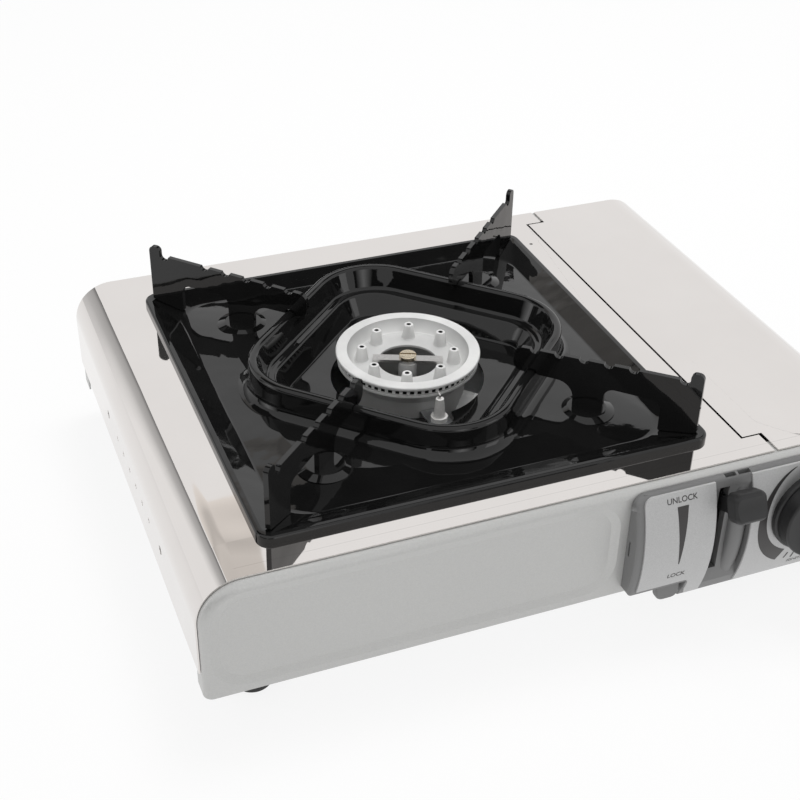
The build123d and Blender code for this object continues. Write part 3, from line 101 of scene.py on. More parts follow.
class StoveSizes(bpy.types.PropertyGroup):
    """Sizes that the frame's boxes do not give."""

    sheet: length("Thickness of the steel sheet", 0.8)
    sheet_edge: length("Rounding of the sheet's edges", 0.18)
    roll: length("Radius of the rolled side edges", 20)
    lid_gap: length("Gap between the top plate and the lid", 1.1)
    notch_gap: length("Gap between a tongue and the lid", 1.8)
    tongue_length: length("Length of each hinge tongue along the depth", 13)
    ear_gap: length("Gap between a tongue and the lid along the depth", 0.8)
    hinge_across: length("Hinge axis from the lid's left edge", 5.8)
    hinge_drop: length("Depth of the hinge axis under the top", 3.5)
    hinge_tab: length("Radius of the hinge tabs", 2.5)
    opening: length("Side of the opening under the drip tray", 194)
    opening_corner: length("Corner radius of that opening", 9)
    vent_drop: length("Depth of the side vents under the top", 30)
    vent_shift: length("Middle of the vents in front of the burner", 3.2)
    vent_pitch: length("Distance between two vents", 13.4)
    vent_radius: length("Radius of the vents", 1.4)
    end_vent_reach: length("End vents from the middle of the vents", 55.5)
    end_vent_radius: length("Radius of the end vents", 2.2)
    pad_rise: length("Height of the raised pad on the lid", 0.05)
    barrel: length("Radius of the housing's bulging front", 82)
    barrel_rise: length("Middle of the bulge over the housing's", 1.05)
    plate_proud: length("Printed plates out of the housing", 0.8)
    ink_proud: length("Print out of the plates", 0.05)
    rim_corner: length("Corner radius of the drip tray", 7)
    well_size: length("Side of the burner well at its bead", 127.4)
    well_corner: length("Corner radius of the burner well", 32)
    well_sheet: length("Thickness of the burner well", 1.0)
    support_thickness: length("Thickness of the pan supports", 2.4)
    steps: number("Steps in each quarter turn", 10)
    ports: number("Flame ports round the burner", 60)
    posts: number("Posts on the burner floor", 8)


class StoveColours(bpy.types.PropertyGroup):
    """Base colours of the finishes."""

    polished: colour("Mirror-polished steel", (0.74, 0.71, 0.69))
    paint: colour("Satin panel paint", (0.53, 0.53, 0.52))
    enamel: colour("Black enamel", (0.006, 0.006, 0.006))
    aluminium: colour("Cast aluminium", (0.93, 0.93, 0.92))
    zinc: colour("Zinc-plated sheet", (0.55, 0.56, 0.57))
    steel: colour("Plain steel", (0.58, 0.57, 0.56))
    brass: colour("Brass", (0.66, 0.58, 0.45))
    ceramic: colour("Glazed ceramic", (0.84, 0.83, 0.81))
    housing: colour("Moulded grey plastic", (0.18, 0.18, 0.18))
    fascia: colour("Printed plates", (0.50, 0.50, 0.50))
    ink: colour("Printing ink", (0.035, 0.032, 0.032))
    black: colour("Black plastic", (0.009, 0.009, 0.0095))
    rubber: colour("Feet", (0.02, 0.02, 0.02))
    sleeve: colour("Ignition lead", (0.35, 0.04, 0.03))


# Modelling helpers


def at(x, y, z):
    """A place given in millimetres."""
    return Vector((x, y, z)) * MM


def settle():
    """Leave edit mode and let go of every object."""
    if bpy.context.mode != "OBJECT":
        bpy.ops.object.mode_set(mode="OBJECT")
    bpy.ops.object.select_all(action="DESELECT")


def hold(*objects):
    """Select these objects alone, the last one active."""
    settle()
    for held in objects:
        held.select_set(True)
        bpy.context.view_layer.objects.active = held


def begin(name):
    """Start an empty mesh and open it for editing."""
    settle()
    bpy.ops.mesh.primitive_plane_add(size=1.0)
    made = bpy.context.object
    made.name = made.data.name = name
    bpy.ops.object.mode_set(mode="EDIT")
    bpy.ops.mesh.select_mode(type="VERT")
    bpy.ops.mesh.delete(type="VERT")
    return made


def everything():
    """Select all of the open mesh."""
    bpy.ops.mesh.select_all(action="SELECT")


def veil():
    """Hide what the open mesh has so far."""
    everything()
    bpy.ops.mesh.hide(unselected=False)


def pick(test, kind="VERT"):
    """Select the vertices, edges or faces of the open mesh that pass the test."""
    bpy.ops.mesh.select_mode(type=kind)
    bpy.ops.mesh.select_all(action="DESELECT")
    data = bpy.context.object.data
    mesh = bmesh.from_edit_mesh(data)
    items = {"VERT": mesh.verts, "EDGE": mesh.edges, "FACE": mesh.faces}[kind]
    found = [item for item in items if test(item)]
    if not found:
        raise RuntimeError(f"{bpy.context.object.name} has nothing to pick there")
    for item in found:
        item.select_set(True)
    mesh.select_flush_mode()
    bmesh.update_edit_mesh(data)


def soften(corners, closed=True, steps=6):
    """Points of a flat outline of (x, y, radius) corners, in millimetres, with the corners rounded."""
    spots, last = [], len(corners) - 1
    for i, (x, y, radius) in enumerate(corners):
        here = Vector((x, y))
        if radius <= 0 or (not closed and i in (0, last)):
            spots.append(here)
            continue
        back = (Vector(corners[i - 1][:2]) - here).normalized()
        on = (Vector(corners[(i + 1) % len(corners)][:2]) - here).normalized()
        half = back.angle(on) / 2
        hub = here + (back + on).normalized() * (radius / sin(half))
        spoke = here + back * (radius / tan(half)) - hub
        sweep = spoke.angle_signed(here + on * (radius / tan(half)) - hub)
        spots += [hub + Matrix.Rotation(-sweep * k / steps, 2) @ spoke for k in range(steps + 1)]
    return spots


def chain(spots):
    """Draw a chain of edges through the spots by extruding one vertex, and select it."""
    veil()
    bpy.ops.mesh.primitive_plane_add(size=MM, location=spots[0])
    bpy.ops.mesh.merge(type="CENTER")
    for here, on in zip(spots, spots[1:]):
        bpy.ops.mesh.extrude_vertices_move(TRANSFORM_OT_translate={"value": on - here})
    everything()


def slab(name, corners, origin, across, up, depth, steps=6):
    """Make a plate from an outline of corners and extrude it by the depth."""
    made = begin(name)
    chain([origin + (across * p.x + up * p.y) * MM for p in soften(corners, True, steps)])
    bpy.ops.mesh.edge_face_add()
    bpy.ops.mesh.extrude_region_move(TRANSFORM_OT_translate={"value": depth})
    tidy_normals()
    return made


def tidy_normals():
    """Merge doubled vertices of the open mesh and turn its faces outward."""
    everything()
    bpy.ops.mesh.remove_doubles(threshold=0.002 * MM)
    bpy.ops.mesh.normals_make_consistent(inside=False)


def ring(size, corner, height, turn, steps):
    """Add a flat rounded square of edges round the burner's axis, in millimetres, and give its tag."""
    veil()
    centre = Vector((PAN.x / MM, PAN.y / MM, height))
    bpy.ops.mesh.primitive_plane_add(size=size, location=centre)
    bpy.ops.mesh.bevel(offset=corner, segments=steps, affect="VERTICES", clamp_overlap=False)
    everything()
    if turn:
        bpy.ops.transform.rotate(value=turn, orient_axis="Z", center_override=centre)
    bpy.ops.mesh.delete(type="ONLY_FACE")
    everything()
    return tag()


def tag():
    """Mark the vertices that are seen and selected, show the rest, and give the mark."""
    data = bpy.context.object.data
    mesh = bmesh.from_edit_mesh(data)
    layer = mesh.verts.layers.int.get("loop") or mesh.verts.layers.int.new("loop")
    mark = 1 + max((vertex[layer] for vertex in mesh.verts), default=0)
    for vertex in mesh.verts:
        if vertex.select and not vertex.hide:
            vertex[layer] = mark
    bmesh.update_edit_mesh(data)
    bpy.ops.mesh.reveal(select=False)
    return mark


def tagged(*marks):
    """Select the vertices that carry one of the marks."""
    layer = bmesh.from_edit_mesh(bpy.context.object.data).verts.layers.int["loop"]
    pick(lambda vertex: vertex[layer] in marks)


def bridge(*loops):
    """Join each tagged loop of the open mesh to the next by faces."""
    for pair in zip(loops, loops[1:]):
        tagged(*pair)
        bpy.ops.mesh.bridge_edge_loops()


def lathe(name, spots, centre, steps):
    """Spin a section of (radius, height) spots, in millimetres, about the upright line through the centre."""
    made = begin(name)
    chain([centre + (ACROSS * p.x + UP * p.y) * MM for p in spots])
    bpy.ops.mesh.spin(steps=steps, angle=2 * pi, center=centre, axis=UP)
    tidy_normals()
    return made


def copy_round(count):
    """Copy the open mesh evenly round the burner's axis."""
    everything()
    angle = 2 * pi * (count - 1) / count
    bpy.ops.mesh.spin(steps=count - 1, dupli=True, angle=angle, center=(PAN.x, PAN.y, 0), axis=UP)


def shape(made, kind, **settings):
    """Put a modifier on the object and apply it."""
    hold(made)
    bpy.ops.object.modifier_add(type=kind)
    added = made.modifiers[-1]
    for key, value in settings.items():
        setattr(added, key, value)
    bpy.ops.object.modifier_apply(modifier=added.name)


def thicken(made, thickness):
    """Give the sheet its thickness under the side that faces up."""
    hold(made)
    lead = max(made.data.polygons, key=lambda face: face.center.z + face.normal.z ** 2 * MM)
    if lead.normal.z < 0:
        bpy.ops.object.mode_set(mode="EDIT")
        everything()
        bpy.ops.mesh.flip_normals()
    shape(made, "SOLIDIFY", thickness=thickness, offset=-1.0, use_even_offset=True)
    bpy.ops.object.mode_set(mode="EDIT")
    tidy_normals()
    settle()


def dish(made, loops, hole, thickness):
    """Give a dish, drawn as loops in millimetres, its walls, floor and thickness."""
    bridge(*loops)
    tagged(loops[-1], hole)
    bpy.ops.mesh.fill(use_beauty=True)
    everything()
    bpy.ops.transform.resize(value=(MM, MM, MM), center_override=(0, 0, 0))
    tidy_normals()
    thicken(made, thickness)


def carve(made, *cutters):
    """Cut the cutters out of the object and throw them away."""
    for cutter in cutters:
        settle()
        shape(made, "BOOLEAN", object=cutter, operation="DIFFERENCE", solver="EXACT")
        bpy.data.objects.remove(cutter)


def join(made, *others):
    """Make the other objects part of this one."""
    hold(*others, made)
    bpy.ops.object.join()


def rectangle(name, left, right, front, back, z):
    """Start a mesh with one flat rectangle."""
    made = begin(name)
    centre = Vector(((left + right) / 2, (front + back) / 2, z))
    bpy.ops.mesh.primitive_plane_add(size=1.0, location=centre)
    bpy.ops.transform.resize(value=(right - left, back - front, 1), center_override=centre)
    return made


def block(low, high, corner=0.0):
    """A box to cut with, its upright edges rounded."""
    made = rectangle("cutter", low.x, high.x, low.y, high.y, low.z)
    if corner:
        bpy.ops.mesh.bevel(offset=corner, segments=8, affect="VERTICES", clamp_overlap=False)
    everything()
    bpy.ops.mesh.extrude_region_move(TRANSFORM_OT_translate={"value": (0, 0, high.z - low.z)})
    tidy_normals()
    return made


def hatch(low, high, corner=0.0):
    """A cutter through the flat top of a sheet, between two corners seen from above."""
    return block(Vector((*low, PLATE_HIGH.z - CUT)), Vector((*high, PLATE_HIGH.z + CUT)), corner)


def rods(spots, radius, depth, rotation, sides=24):
    """Several round bars to cut with, in one mesh, centred on the spots."""
    made = begin("cutter")
    for spot in spots:
        bpy.ops.mesh.primitive_cylinder_add(
            vertices=sides, radius=radius, depth=depth, location=spot, rotation=rotation,
        )
    return made


def surface(made, material, smooth=32, bevel=0.0, segments=2, weighted=True):
    """Round the sharp edges, smooth the shading and give the object the finish of that name."""
    if bevel:
        shape(
            made, "BEVEL", width=bevel, segments=segments, limit_method="ANGLE",
            angle_limit=radians(38), use_clamp_overlap=True, miter_outer="MITER_ARC",
        )
    hold(made)
    bpy.ops.object.shade_smooth_by_angle(angle=radians(smooth))
    if weighted:
        shape(made, "WEIGHTED_NORMAL", keep_sharp=True, weight=50)
    bpy.ops.object.transform_apply(location=True, rotation=True, scale=True)
    made.data.materials.clear()
    made.data.materials.append(finish(material))
    if not made.data.polygons:
        raise RuntimeError(f"{made.name} came out empty")


def seat(made, body, slot, *nodes):
    """Let the object ride on its body and stand for its solids, which are hidden; the slot is not used."""
    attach(made, body)
    if nodes:
        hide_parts(*nodes)


# Materials


def sum_of(operation, turned=False):
    """A method of a wire that works out one sum, its two sides changed over if asked."""
    def method(self, other):
        return self.board.math(operation, *((other, self) if turned else (self, other)))
    return method


class Wire:
    """A node output that can be used in sums."""

    def __init__(self, board, socket):
        self.board, self.socket = board, socket

    __add__ = __radd__ = sum_of("ADD")
    __mul__ = __rmul__ = sum_of("MULTIPLY")
    __sub__, __rsub__ = sum_of("SUBTRACT"), sum_of("SUBTRACT", turned=True)
    __gt__, __lt__ = sum_of("GREATER_THAN"), sum_of("LESS_THAN")
    __pow__ = sum_of("POWER")


class Board:
    """A node tree that nodes are added to."""

    def __init__(self, tree):
        self.tree = tree

    def node(self, kind, out=0, inputs=None, stops=(), **settings):
        """Add a node, set it up, link its inputs and give one output."""
        made = self.tree.nodes.new("ShaderNode" + kind)
        for key, value in settings.items():
            setattr(made, key, value)
        if stops:
            elements = made.color_ramp.elements
            while len(elements) < len(stops):
                elements.new(0.5)
            for element, (place, tint) in zip(elements, stops):
                element.position, element.color = place, (*tint, 1.0)
        for key, value in (inputs or {}).items():
            self.link(made.inputs[key], value)
        return Wire(self, made.outputs[out])

    def link(self, socket, value):
        """Link a wire to a socket, or set the socket's own value."""
        if isinstance(value, Wire):
            self.tree.links.new(value.socket, socket)
        else:
            socket.default_value = value

    def math(self, operation, *values):
        """Work out one sum."""
        return self.node("Math", inputs=dict(enumerate(values)), operation=operation)


class Shade(Board):
    """One material and its nodes."""

    def __init__(self, name, **constants):
        self.material = bpy.data.materials.new("stove_" + name)
        self.material.use_nodes = True
        super().__init__(self.material.node_tree)
        self.shader = self.tree.nodes["Principled BSDF"]
        self.place = self.node("TexCoord", "Object")
        for key, value in constants.items():
            self.feed(key.replace("_", " "), value)

    def feed(self, name, value):
        """Set or link an input of the shader."""
        socket = next(i for i in self.shader.inputs if i.name.lower() == name.lower())
        self.link(socket, value)

    def noise(self, scale, detail=3.0, rough=0.5, vector=None):
        """A cloudy pattern."""
        return self.node("TexNoise", "Fac", {
            "Vector": vector or self.place, "Scale": scale, "Detail": detail, "Roughness": rough,
        })

    def flakes(self, scale):
        """A pattern of cells, each at a level of its own."""
        cells = self.node("TexVoronoi", "Color", {"Vector": self.place, "Scale": scale})
        return self.node("SeparateColor", 0, {"Color": cells})

    def stretched(self, scale):
        """Object coordinates scaled along each axis."""
        return self.node("Mapping", inputs={"Vector": self.place, "Scale": scale})

    def axes(self):
        """Object coordinates as three wires."""
        return (self.node("SeparateXYZ", axis, {"Vector": self.place}) for axis in "XYZ")

    def span(self, wire, low, high):
        """Spread a part of a wire's range over 0 to 1."""
        return self.node("MapRange", inputs={"Value": wire, "From Min": low, "From Max": high})

    def paint(self, factor, tint, low, high):
        """Let the base colour go from a low to a high share of the tint."""
        blend = {0: factor, 6: (*times(tint, low), 1.0), 7: (*times(tint, high), 1.0)}
        self.feed("Base Color", self.node("Mix", 2, blend, data_type="RGBA"))

    def finished(self, rough, height, distance):
        """Set the roughness, raise the surface by a wire, up to a distance, and give the material."""
        self.feed("Roughness", rough)
        self.feed("Normal", self.node("Bump", inputs={"Height": height, "Distance": distance}))
        return self.material


def times(tint, share):
    """A colour made lighter or darker."""
    return tuple(c * share for c in tint)


def polished_steel(name, tint):
    """Mirror-polished sheet with faint smudges, slow waves and a fine dark line along the front edge, painted
    shade for a crease there.
    """
    shade = Shade(name, Metallic=1.0)
    smudge = shade.noise(16, 4, 0.6)
    hair = shade.noise(900, 2, 0.5, shade.stretched((0.25, 1.0, 1.0)))
    x, y, z = shade.axes()
    # A strip from 5.8 to 6.1 mm behind the front edge is darkened: painted shade for a crease
    line_front, line_back = PLATE_LOW.y + 5.8 * MM, PLATE_LOW.y + 6.1 * MM
    line = (y > line_front) * (y < line_back) * (z > PLATE_HIGH.z - 0.05 * MM)
    level = (0.94 + 0.06 * shade.span(smudge, 0.35, 0.7)) * (1 - 0.3 * line)
    shade.paint(level, tint, 0.5, 1.0)
    rough = 0.015 + shade.span(smudge, 0.4, 0.75) * 0.025 + hair * 0.015
    corner = shade.span(x, -0.09, -0.15) * shade.span(y, -0.03, -0.09)
    return shade.finished(rough, shade.noise(22, 1, 0.4) * (1 + 2 * corner) + hair * 0.001, 0.2 * MM)


def panel_paint(name, tint):
    """Satin silver paint with a fine flake."""
    shade = Shade(name, Metallic=0.25, Coat_Weight=0.2, Coat_Roughness=0.3)
    glint = shade.span(shade.flakes(2600.0), 0.0, 1.0)
    cloud = shade.noise(7, 3)
    shade.paint(glint * 0.6 + cloud * 0.4, tint, 0.93, 1.06)
    return shade.finished(0.36 + glint * 0.08 + cloud * 0.04, shade.noise(700, 2), 0.02 * MM)


def black_enamel(name, tint):
    """Fired black enamel, glossy with a slow ripple and a fine peel."""
    shade = Shade(name, Specular_IOR_Level=0.42)
    ripple = shade.noise(38, 2, 0.45)
    peel = shade.noise(420, 2)
    shade.paint(shade.noise(60, 4), tint, 0.7, 1.6)
    rough = 0.03 + shade.span(shade.noise(11, 3), 0.45, 0.8) * 0.04
    return shade.finished(rough, ripple + peel * 0.015, 0.5 * MM)


def cast_aluminium(name, tint):
    """Bare die-cast metal with a grain and painted shade: darker on the body under the ring, a painted shadow
    down the inner wall, a floor darker towards the bottom and near black in the ports and bores, so the
    ring's top is brightest.
    """
    shade = Shade(name, Metallic=0.2)
    grain = shade.noise(1500, 3, 0.6)
    cloud = shade.noise(55, 3)
    ring_top = HEAD_HIGH.z - POST_TOP * MM
    x, y, up = ((axis - zero) * (1 / MM) for axis, zero in zip(shade.axes(), (PAN.x, PAN.y, ring_top)))
    radius = (x * x + y * y) ** 0.5
    posts = bpy.context.scene.stove_sizes.posts
    turn = shade.math("FRACT", shade.math("ARCTAN2", y, x) * (posts / 2 / pi)) - 0.5
    facing = shade.math("COSINE", turn * (2 * pi / posts))
    off_post = (radius * radius + POST_CIRCLE ** 2 - facing * radius * (2 * POST_CIRCLE)) ** 0.5
    # Masks of painted shade: the post bores and flame ports, made near black; the body under the ring's lip;
    # the inner wall, darkest under the ring's edge; and the floor and posts, darker towards the bottom
    bore = (off_post < 1.25) * (up < 0.35) * (up > -3.0)
    past_wall = radius - up * 0.53 > 30.2
    port_shade = (radius < PORT_FACE - 0.15) * past_wall * (up < PORT_TOP + 0.05) * (up > PORT_FOOT + 0.1)
    body = (radius < PORT_FACE + 0.4) * past_wall * (up < PORT_FOOT - 0.05)
    wall_shadow = (radius > FLOOR_EDGE) * (radius < RING_EDGE - 0.1) * (up < -0.2)
    wall_shadow = wall_shadow * shade.span(up, FLOOR_TOP + 0.1, -0.2)
    inside = (radius < FLOOR_EDGE) * shade.span(up, -0.5, -5.0)
    # Each mask of painted shade darkens the base colour by its share
    level = 1 - 0.97 * shade.math("MAXIMUM", bore, port_shade)
    for part, share in ((body, 0.34), (wall_shadow, 0.45), (inside, 0.2)):
        level = level * (1 - share * part)
    shade.paint(level * (0.82 + 0.18 * shade.span(cloud, 0.3, 0.75)), tint, 0.0, 1.0)
    return shade.finished(0.44 + grain * 0.16, grain + cloud * 0.6, 0.05 * MM)


def plated(name, tint, rough, scale):
    """Plated or plain sheet metal with a spangle and fine scratches."""
    shade = Shade(name, Metallic=1.0)
    leaf = shade.flakes(scale)
    scratch = shade.noise(1400, 2, 0.5, shade.stretched((1.0, 0.05, 1.0)))
    shade.paint(leaf * 0.7 + scratch * 0.3, tint, 0.86, 1.1)
    return shade.finished(rough + leaf * 0.08 + scratch * 0.08, scratch, 0.01 * MM)


def moulded(name, tint, rough, scale, depth):
    """Moulded plastic or rubber with an even eroded grain."""
    shade = Shade(name)
    grain = shade.noise(scale, 2, 0.55)
    cloud = shade.noise(20, 3)
    shade.paint(cloud * 0.6 + grain * 0.4, tint, 0.88, 1.12)
    return shade.finished(rough + grain * 0.14, grain, depth * MM)


def glazed(name, tint):
    """White ceramic with a thin glaze and faint speckle."""
    shade = Shade(name, Coat_Weight=0.5, Coat_Roughness=0.1)
    speck = shade.noise(900, 3)
    shade.paint(shade.span(speck, 0.3, 0.7), tint, 0.92, 1.0)
    return shade.finished(0.32 + speck * 0.1, shade.noise(260, 2), 0.03 * MM)


def printed(name, tint, flake):
    """A printed film with a fine sparkle."""
    shade = Shade(name, Metallic=0.1)
    dots = shade.flakes(3200.0)
    shade.paint(dots * 0.7 + shade.noise(15, 3) * 0.3, tint, 1 - flake, 1 + flake)
    return shade.finished(0.34 + dots * 0.1, shade.noise(1100, 2), 0.008 * MM)


# How each finish is made, the colour that it takes and its settings
FINISHES = {
    "polished_steel": (polished_steel, "polished"),
    "panel_paint": (panel_paint, "paint"),
    "black_enamel": (black_enamel, "enamel"),
    "cast_aluminium": (cast_aluminium, "aluminium"),
    "zinc_steel": (plated, "zinc", 0.28, 240.0),
    "steel": (plated, "steel", 0.24, 900.0),
    "brass": (plated, "brass", 0.2, 1100.0),
    "ceramic": (glazed, "ceramic"),
    "housing_plastic": (moulded, "housing", 0.36, 1300, 0.02),
    "fascia_print": (printed, "fascia", 0.1),
    "ink": (printed, "ink", 0.04),
    "black_plastic": (moulded, "black", 0.38, 1600, 0.015),
    "foot_rubber": (moulded, "rubber", 0.62, 800, 0.04),
    "lead_sleeve": (moulded, "sleeve", 0.4, 1200, 0.02),
}


def finish(name):
    """The finish of that name, made when it is first asked for."""
    make, tint, *settings = FINISHES[name]
    ready = bpy.data.materials.get("stove_" + name)
    return ready or make(name, tuple(getattr(bpy.context.scene.stove_colours, tint)), *settings)


# Pieces


class PieceOperator:
    """What every modelling step shares."""

    bl_options = {"REGISTER", "UNDO"}

    def execute(self, context):
        self.model(context.scene.stove_sizes)
        return {"FINISHED"}


def rolled_sheet(name, low, high, side, sizes):
    """A flat sheet bent down along its left (-1) or right (1) side, still without openings."""
    left, right = (low.x + sizes.roll, high.x) if side < 0 else (low.x, high.x - sizes.roll)
    edge = left if side < 0 else right
    made = rectangle(name, left, right, low.y, high.y, high.z)
    pick(lambda e: all(abs(v.co.x - edge) < MM / 100 for v in e.verts), "EDGE")
    hub = (edge, 0, high.z - sizes.roll)
    bpy.ops.mesh.spin(steps=2 * sizes.steps, angle=pi / 2, center=hub, axis=(0, -side, 0))
    bpy.ops.mesh.extrude_edges_move(TRANSFORM_OT_translate={"value": (0, 0, low.z - high.z + sizes.roll)})
    tidy_normals()
    thicken(made, sizes.sheet)
    return made


def hinge_tab(y, sizes):
    """A small round-ended tab that hangs under the sheet on the hinge axis."""
    reach, top = sizes.hinge_tab / MM, -sizes.sheet / 2 / MM
    foot = -sizes.hinge_drop / MM - reach
    corners = [(-reach, top, 0), (-reach, foot, reach), (reach, foot, reach), (reach, top, 0)]
    origin = Vector((LID_LOW.x + sizes.hinge_across, y, PLATE_HIGH.z))
    return slab("hinge_tab", corners, origin, ACROSS, UP, BACK * sizes.sheet)


class STOVE_OT_top_plate(PieceOperator, bpy.types.Operator):
    """Model the polished top plate with its rolled left side, tray opening, tongues and vents"""

    bl_idname = "stove.top_plate"
    bl_label = "Top Plate"

    def model(self, sizes):
        low, high = PLATE_LOW, PLATE_HIGH
        made = rolled_sheet("polished_top_plate", low, high, -1, sizes)
        half, tongue = sizes.opening / 2, sizes.tongue_length
        through = (0, pi / 2, 0)
        vents = Vector((low.x, PAN.y - sizes.vent_shift, high.z - sizes.vent_drop))
        row = [vents + BACK * (i - 2.5) * sizes.vent_pitch for i in range(6)]
        ends = [vents + BACK * side * sizes.end_vent_reach for side in (-1, 1)]
        pin_hole, pin_radius = high - at(17.3, 36.0, 0), 0.9 * MM
        carve(
            made,
            hatch((PAN.x - half, PAN.y - half), (PAN.x + half, PAN.y + half), sizes.opening_corner),
            hatch((LID_LOW.x - sizes.lid_gap, low.y + tongue), (high.x + CUT, high.y - tongue)),
            rods(row, sizes.vent_radius, 2 * CUT, through),
            rods([pin_hole], pin_radius, 2 * CUT, (0, 0, 0)),
            rods(ends, sizes.end_vent_radius, 2 * CUT, through, 32),
        )
        join(made, *(hinge_tab(y, sizes) for y in (low.y + tongue - sizes.sheet, high.y - tongue)))
        surface(made, "polished_steel", bevel=sizes.sheet_edge)
        seat(made, "case", "polished_steel", "top_plate")


class STOVE_OT_cartridge_lid(PieceOperator, bpy.types.Operator):
    """Model the polished lid over the cartridge with its raised pad and hinge ears"""

    bl_idname = "stove.cartridge_lid"
    bl_label = "Cartridge Lid"

    def model(self, sizes):
        low, high = LID_LOW, LID_HIGH
        made = rolled_sheet("polished_lid", low, high, 1, sizes)
        notch = PLATE_HIGH.x + sizes.notch_gap
        tongue = sizes.tongue_length + sizes.ear_gap
        carve(
            made,
            hatch((low.x - CUT, low.y - CUT), (notch, low.y + tongue)),
            hatch((low.x - CUT, high.y - tongue), (notch, high.y + CUT)),
        )
        left, right = low.x / MM + 12.3, (high.x - sizes.roll) / MM - 2.0
        front, back = low.y / MM + 5.5, high.y / MM - 12.5
        field = [
            (left, back, 6), (right, back, 6), (right, front, 6),
            (left + 13.5, front, 9), (left, front + 17.0, 10),
        ]
        sunk, proud, border = 0.1 * MM, 0.01 * MM, 3 * MM
        pad = slab("lid_pad", field, UP * (high.z - sunk), ACROSS, BACK, UP * (sunk + proud), 10)
        pick(lambda face: face.normal.z > 0.9, "FACE")
        bpy.ops.mesh.inset(thickness=border, depth=sizes.pad_rise)
        ears = (low.y + tongue, high.y - tongue - sizes.sheet)
        join(made, pad, *(hinge_tab(y, sizes) for y in ears))
        surface(made, "polished_steel", bevel=sizes.sheet_edge)
        seat(made, "lid", "polished_steel", "cartridge_lid")


class STOVE_OT_drip_tray(PieceOperator, bpy.types.Operator):
    """Model the enamelled drip tray with its rim, sloping basin, crowned floor and four bosses"""

    bl_idname = "stove.drip_tray"
    bl_label = "Drip Tray"

    def model(self, sizes):
        made = begin("enamelled_drip_tray")
        rim_spread, rim_foot, rim_drop, basin_drop, crown = 1.8, 1.0, 1.9, 3.7, 2.0
        half = (TRAY_HIGH.x - TRAY_LOW.x) / 2 / MM + rim_spread
        foot, crest = TRAY_LOW.z / MM + rim_foot, TRAY_HIGH.z / MM - rim_drop
        basin = crest - basin_drop
        floor = basin + crown
        section = soften(
            [
                (half, foot, 0), (half, crest, 1.2), (half - 2.9, crest - 0.05, 1.1),
                (half - 13.5, basin - 0.2, 3.0), (half - 30.8, floor, 5.0), (half - 32.3, floor, 0),
            ],
            False, 5,
        )[:-1]
        loops = []
        for spot in section:
            # The corners tighten over the rim and open out towards the floor
            inset = half - spot.x
            corner = max(sizes.rim_corner / MM - 0.55 * inset, 1.4 * inset - 0.6)
            loops.append(ring(2 * spot.x, corner, spot.y, 0.0, sizes.steps))
        lap = 4.0
        side, corner = sizes.well_size / MM - 2 * lap, sizes.well_corner / MM - lap
        hole = ring(side, corner, section[-1].y, pi / 4, WELL_STEPS)
        dish(made, loops, hole, sizes.sheet)
        boss_circle = 91.0 * MM
        boss = soften([(13.0, -0.5, 0), (9.0, 1.1, 2.5), (0, 1.3, 0)], False, 5)
        place = Vector((PAN.x, PAN.y, section[-1].y * MM)) + (ACROSS + BACK).normalized() * boss_circle
        bosses = lathe("support_bosses", boss, place, 48)
        copy_round(4)
        join(made, bosses)
        surface(made, "black_enamel", smooth=40)
        seat(made, "pan", "black_enamel", "drip_tray")


class STOVE_OT_burner_well(PieceOperator, bpy.types.Operator):
    """Model the enamelled well that rises to a bead and steps down round the burner"""

    bl_idname = "stove.burner_well"
    bl_label = "Burner Well"

    def model(self, sizes):
        made = begin("enamelled_burner_well")
        bead, foot = WELL_HIGH.z / MM, TRAY_HIGH.z / MM - 4.0
        step, floor = bead - 11.0, bead - 21.0
        # Distance out from the bead's line, height and corner radius
        section = soften(
            [
                (7.0, foot, 0), (1.9, foot + 0.7, 5.5), (1.8, bead, 2.15), (-2.6, bead - 0.05, 2.15),
                (-7.0, step, 2.4), (-11.0, step - 0.15, 2.0), (-17.0, floor, 2.0), (-19.5, floor - 0.05, 0),
            ],
            False, 5,
        )
        loops = []
        for spot in section:
            side, corner = sizes.well_size / MM + 2 * spot.x, sizes.well_corner / MM + spot.x
            loops.append(ring(side, corner, spot.y, pi / 4, WELL_STEPS))
        opening, notch, count = 37.5, 7.0, 180
        centre = Vector((PAN.x / MM, PAN.y / MM, section[-1].y))
        low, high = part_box("electrode_insulator")
        spark = ((low + high) / 2 - PAN).to_2d() / MM
        hole = []
        for i in range(count):
            angle = 2 * pi * i / count
            ray = Vector((cos(angle), sin(angle)))
            past = notch ** 2 - spark.length_squared + ray.dot(spark) ** 2
            reach = ray.dot(spark) + sqrt(past) if past > 0 else 0.0
            hole.append(centre + ray.to_3d() * max(opening, reach))
        chain(hole)
        bpy.ops.mesh.edge_face_add()
        bpy.ops.mesh.delete(type="ONLY_FACE")
        everything()
        dish(made, loops, tag(), sizes.well_sheet)
        surface(made, "black_enamel", smooth=40)
        seat(made, "pan", "black_enamel", "burner_well")


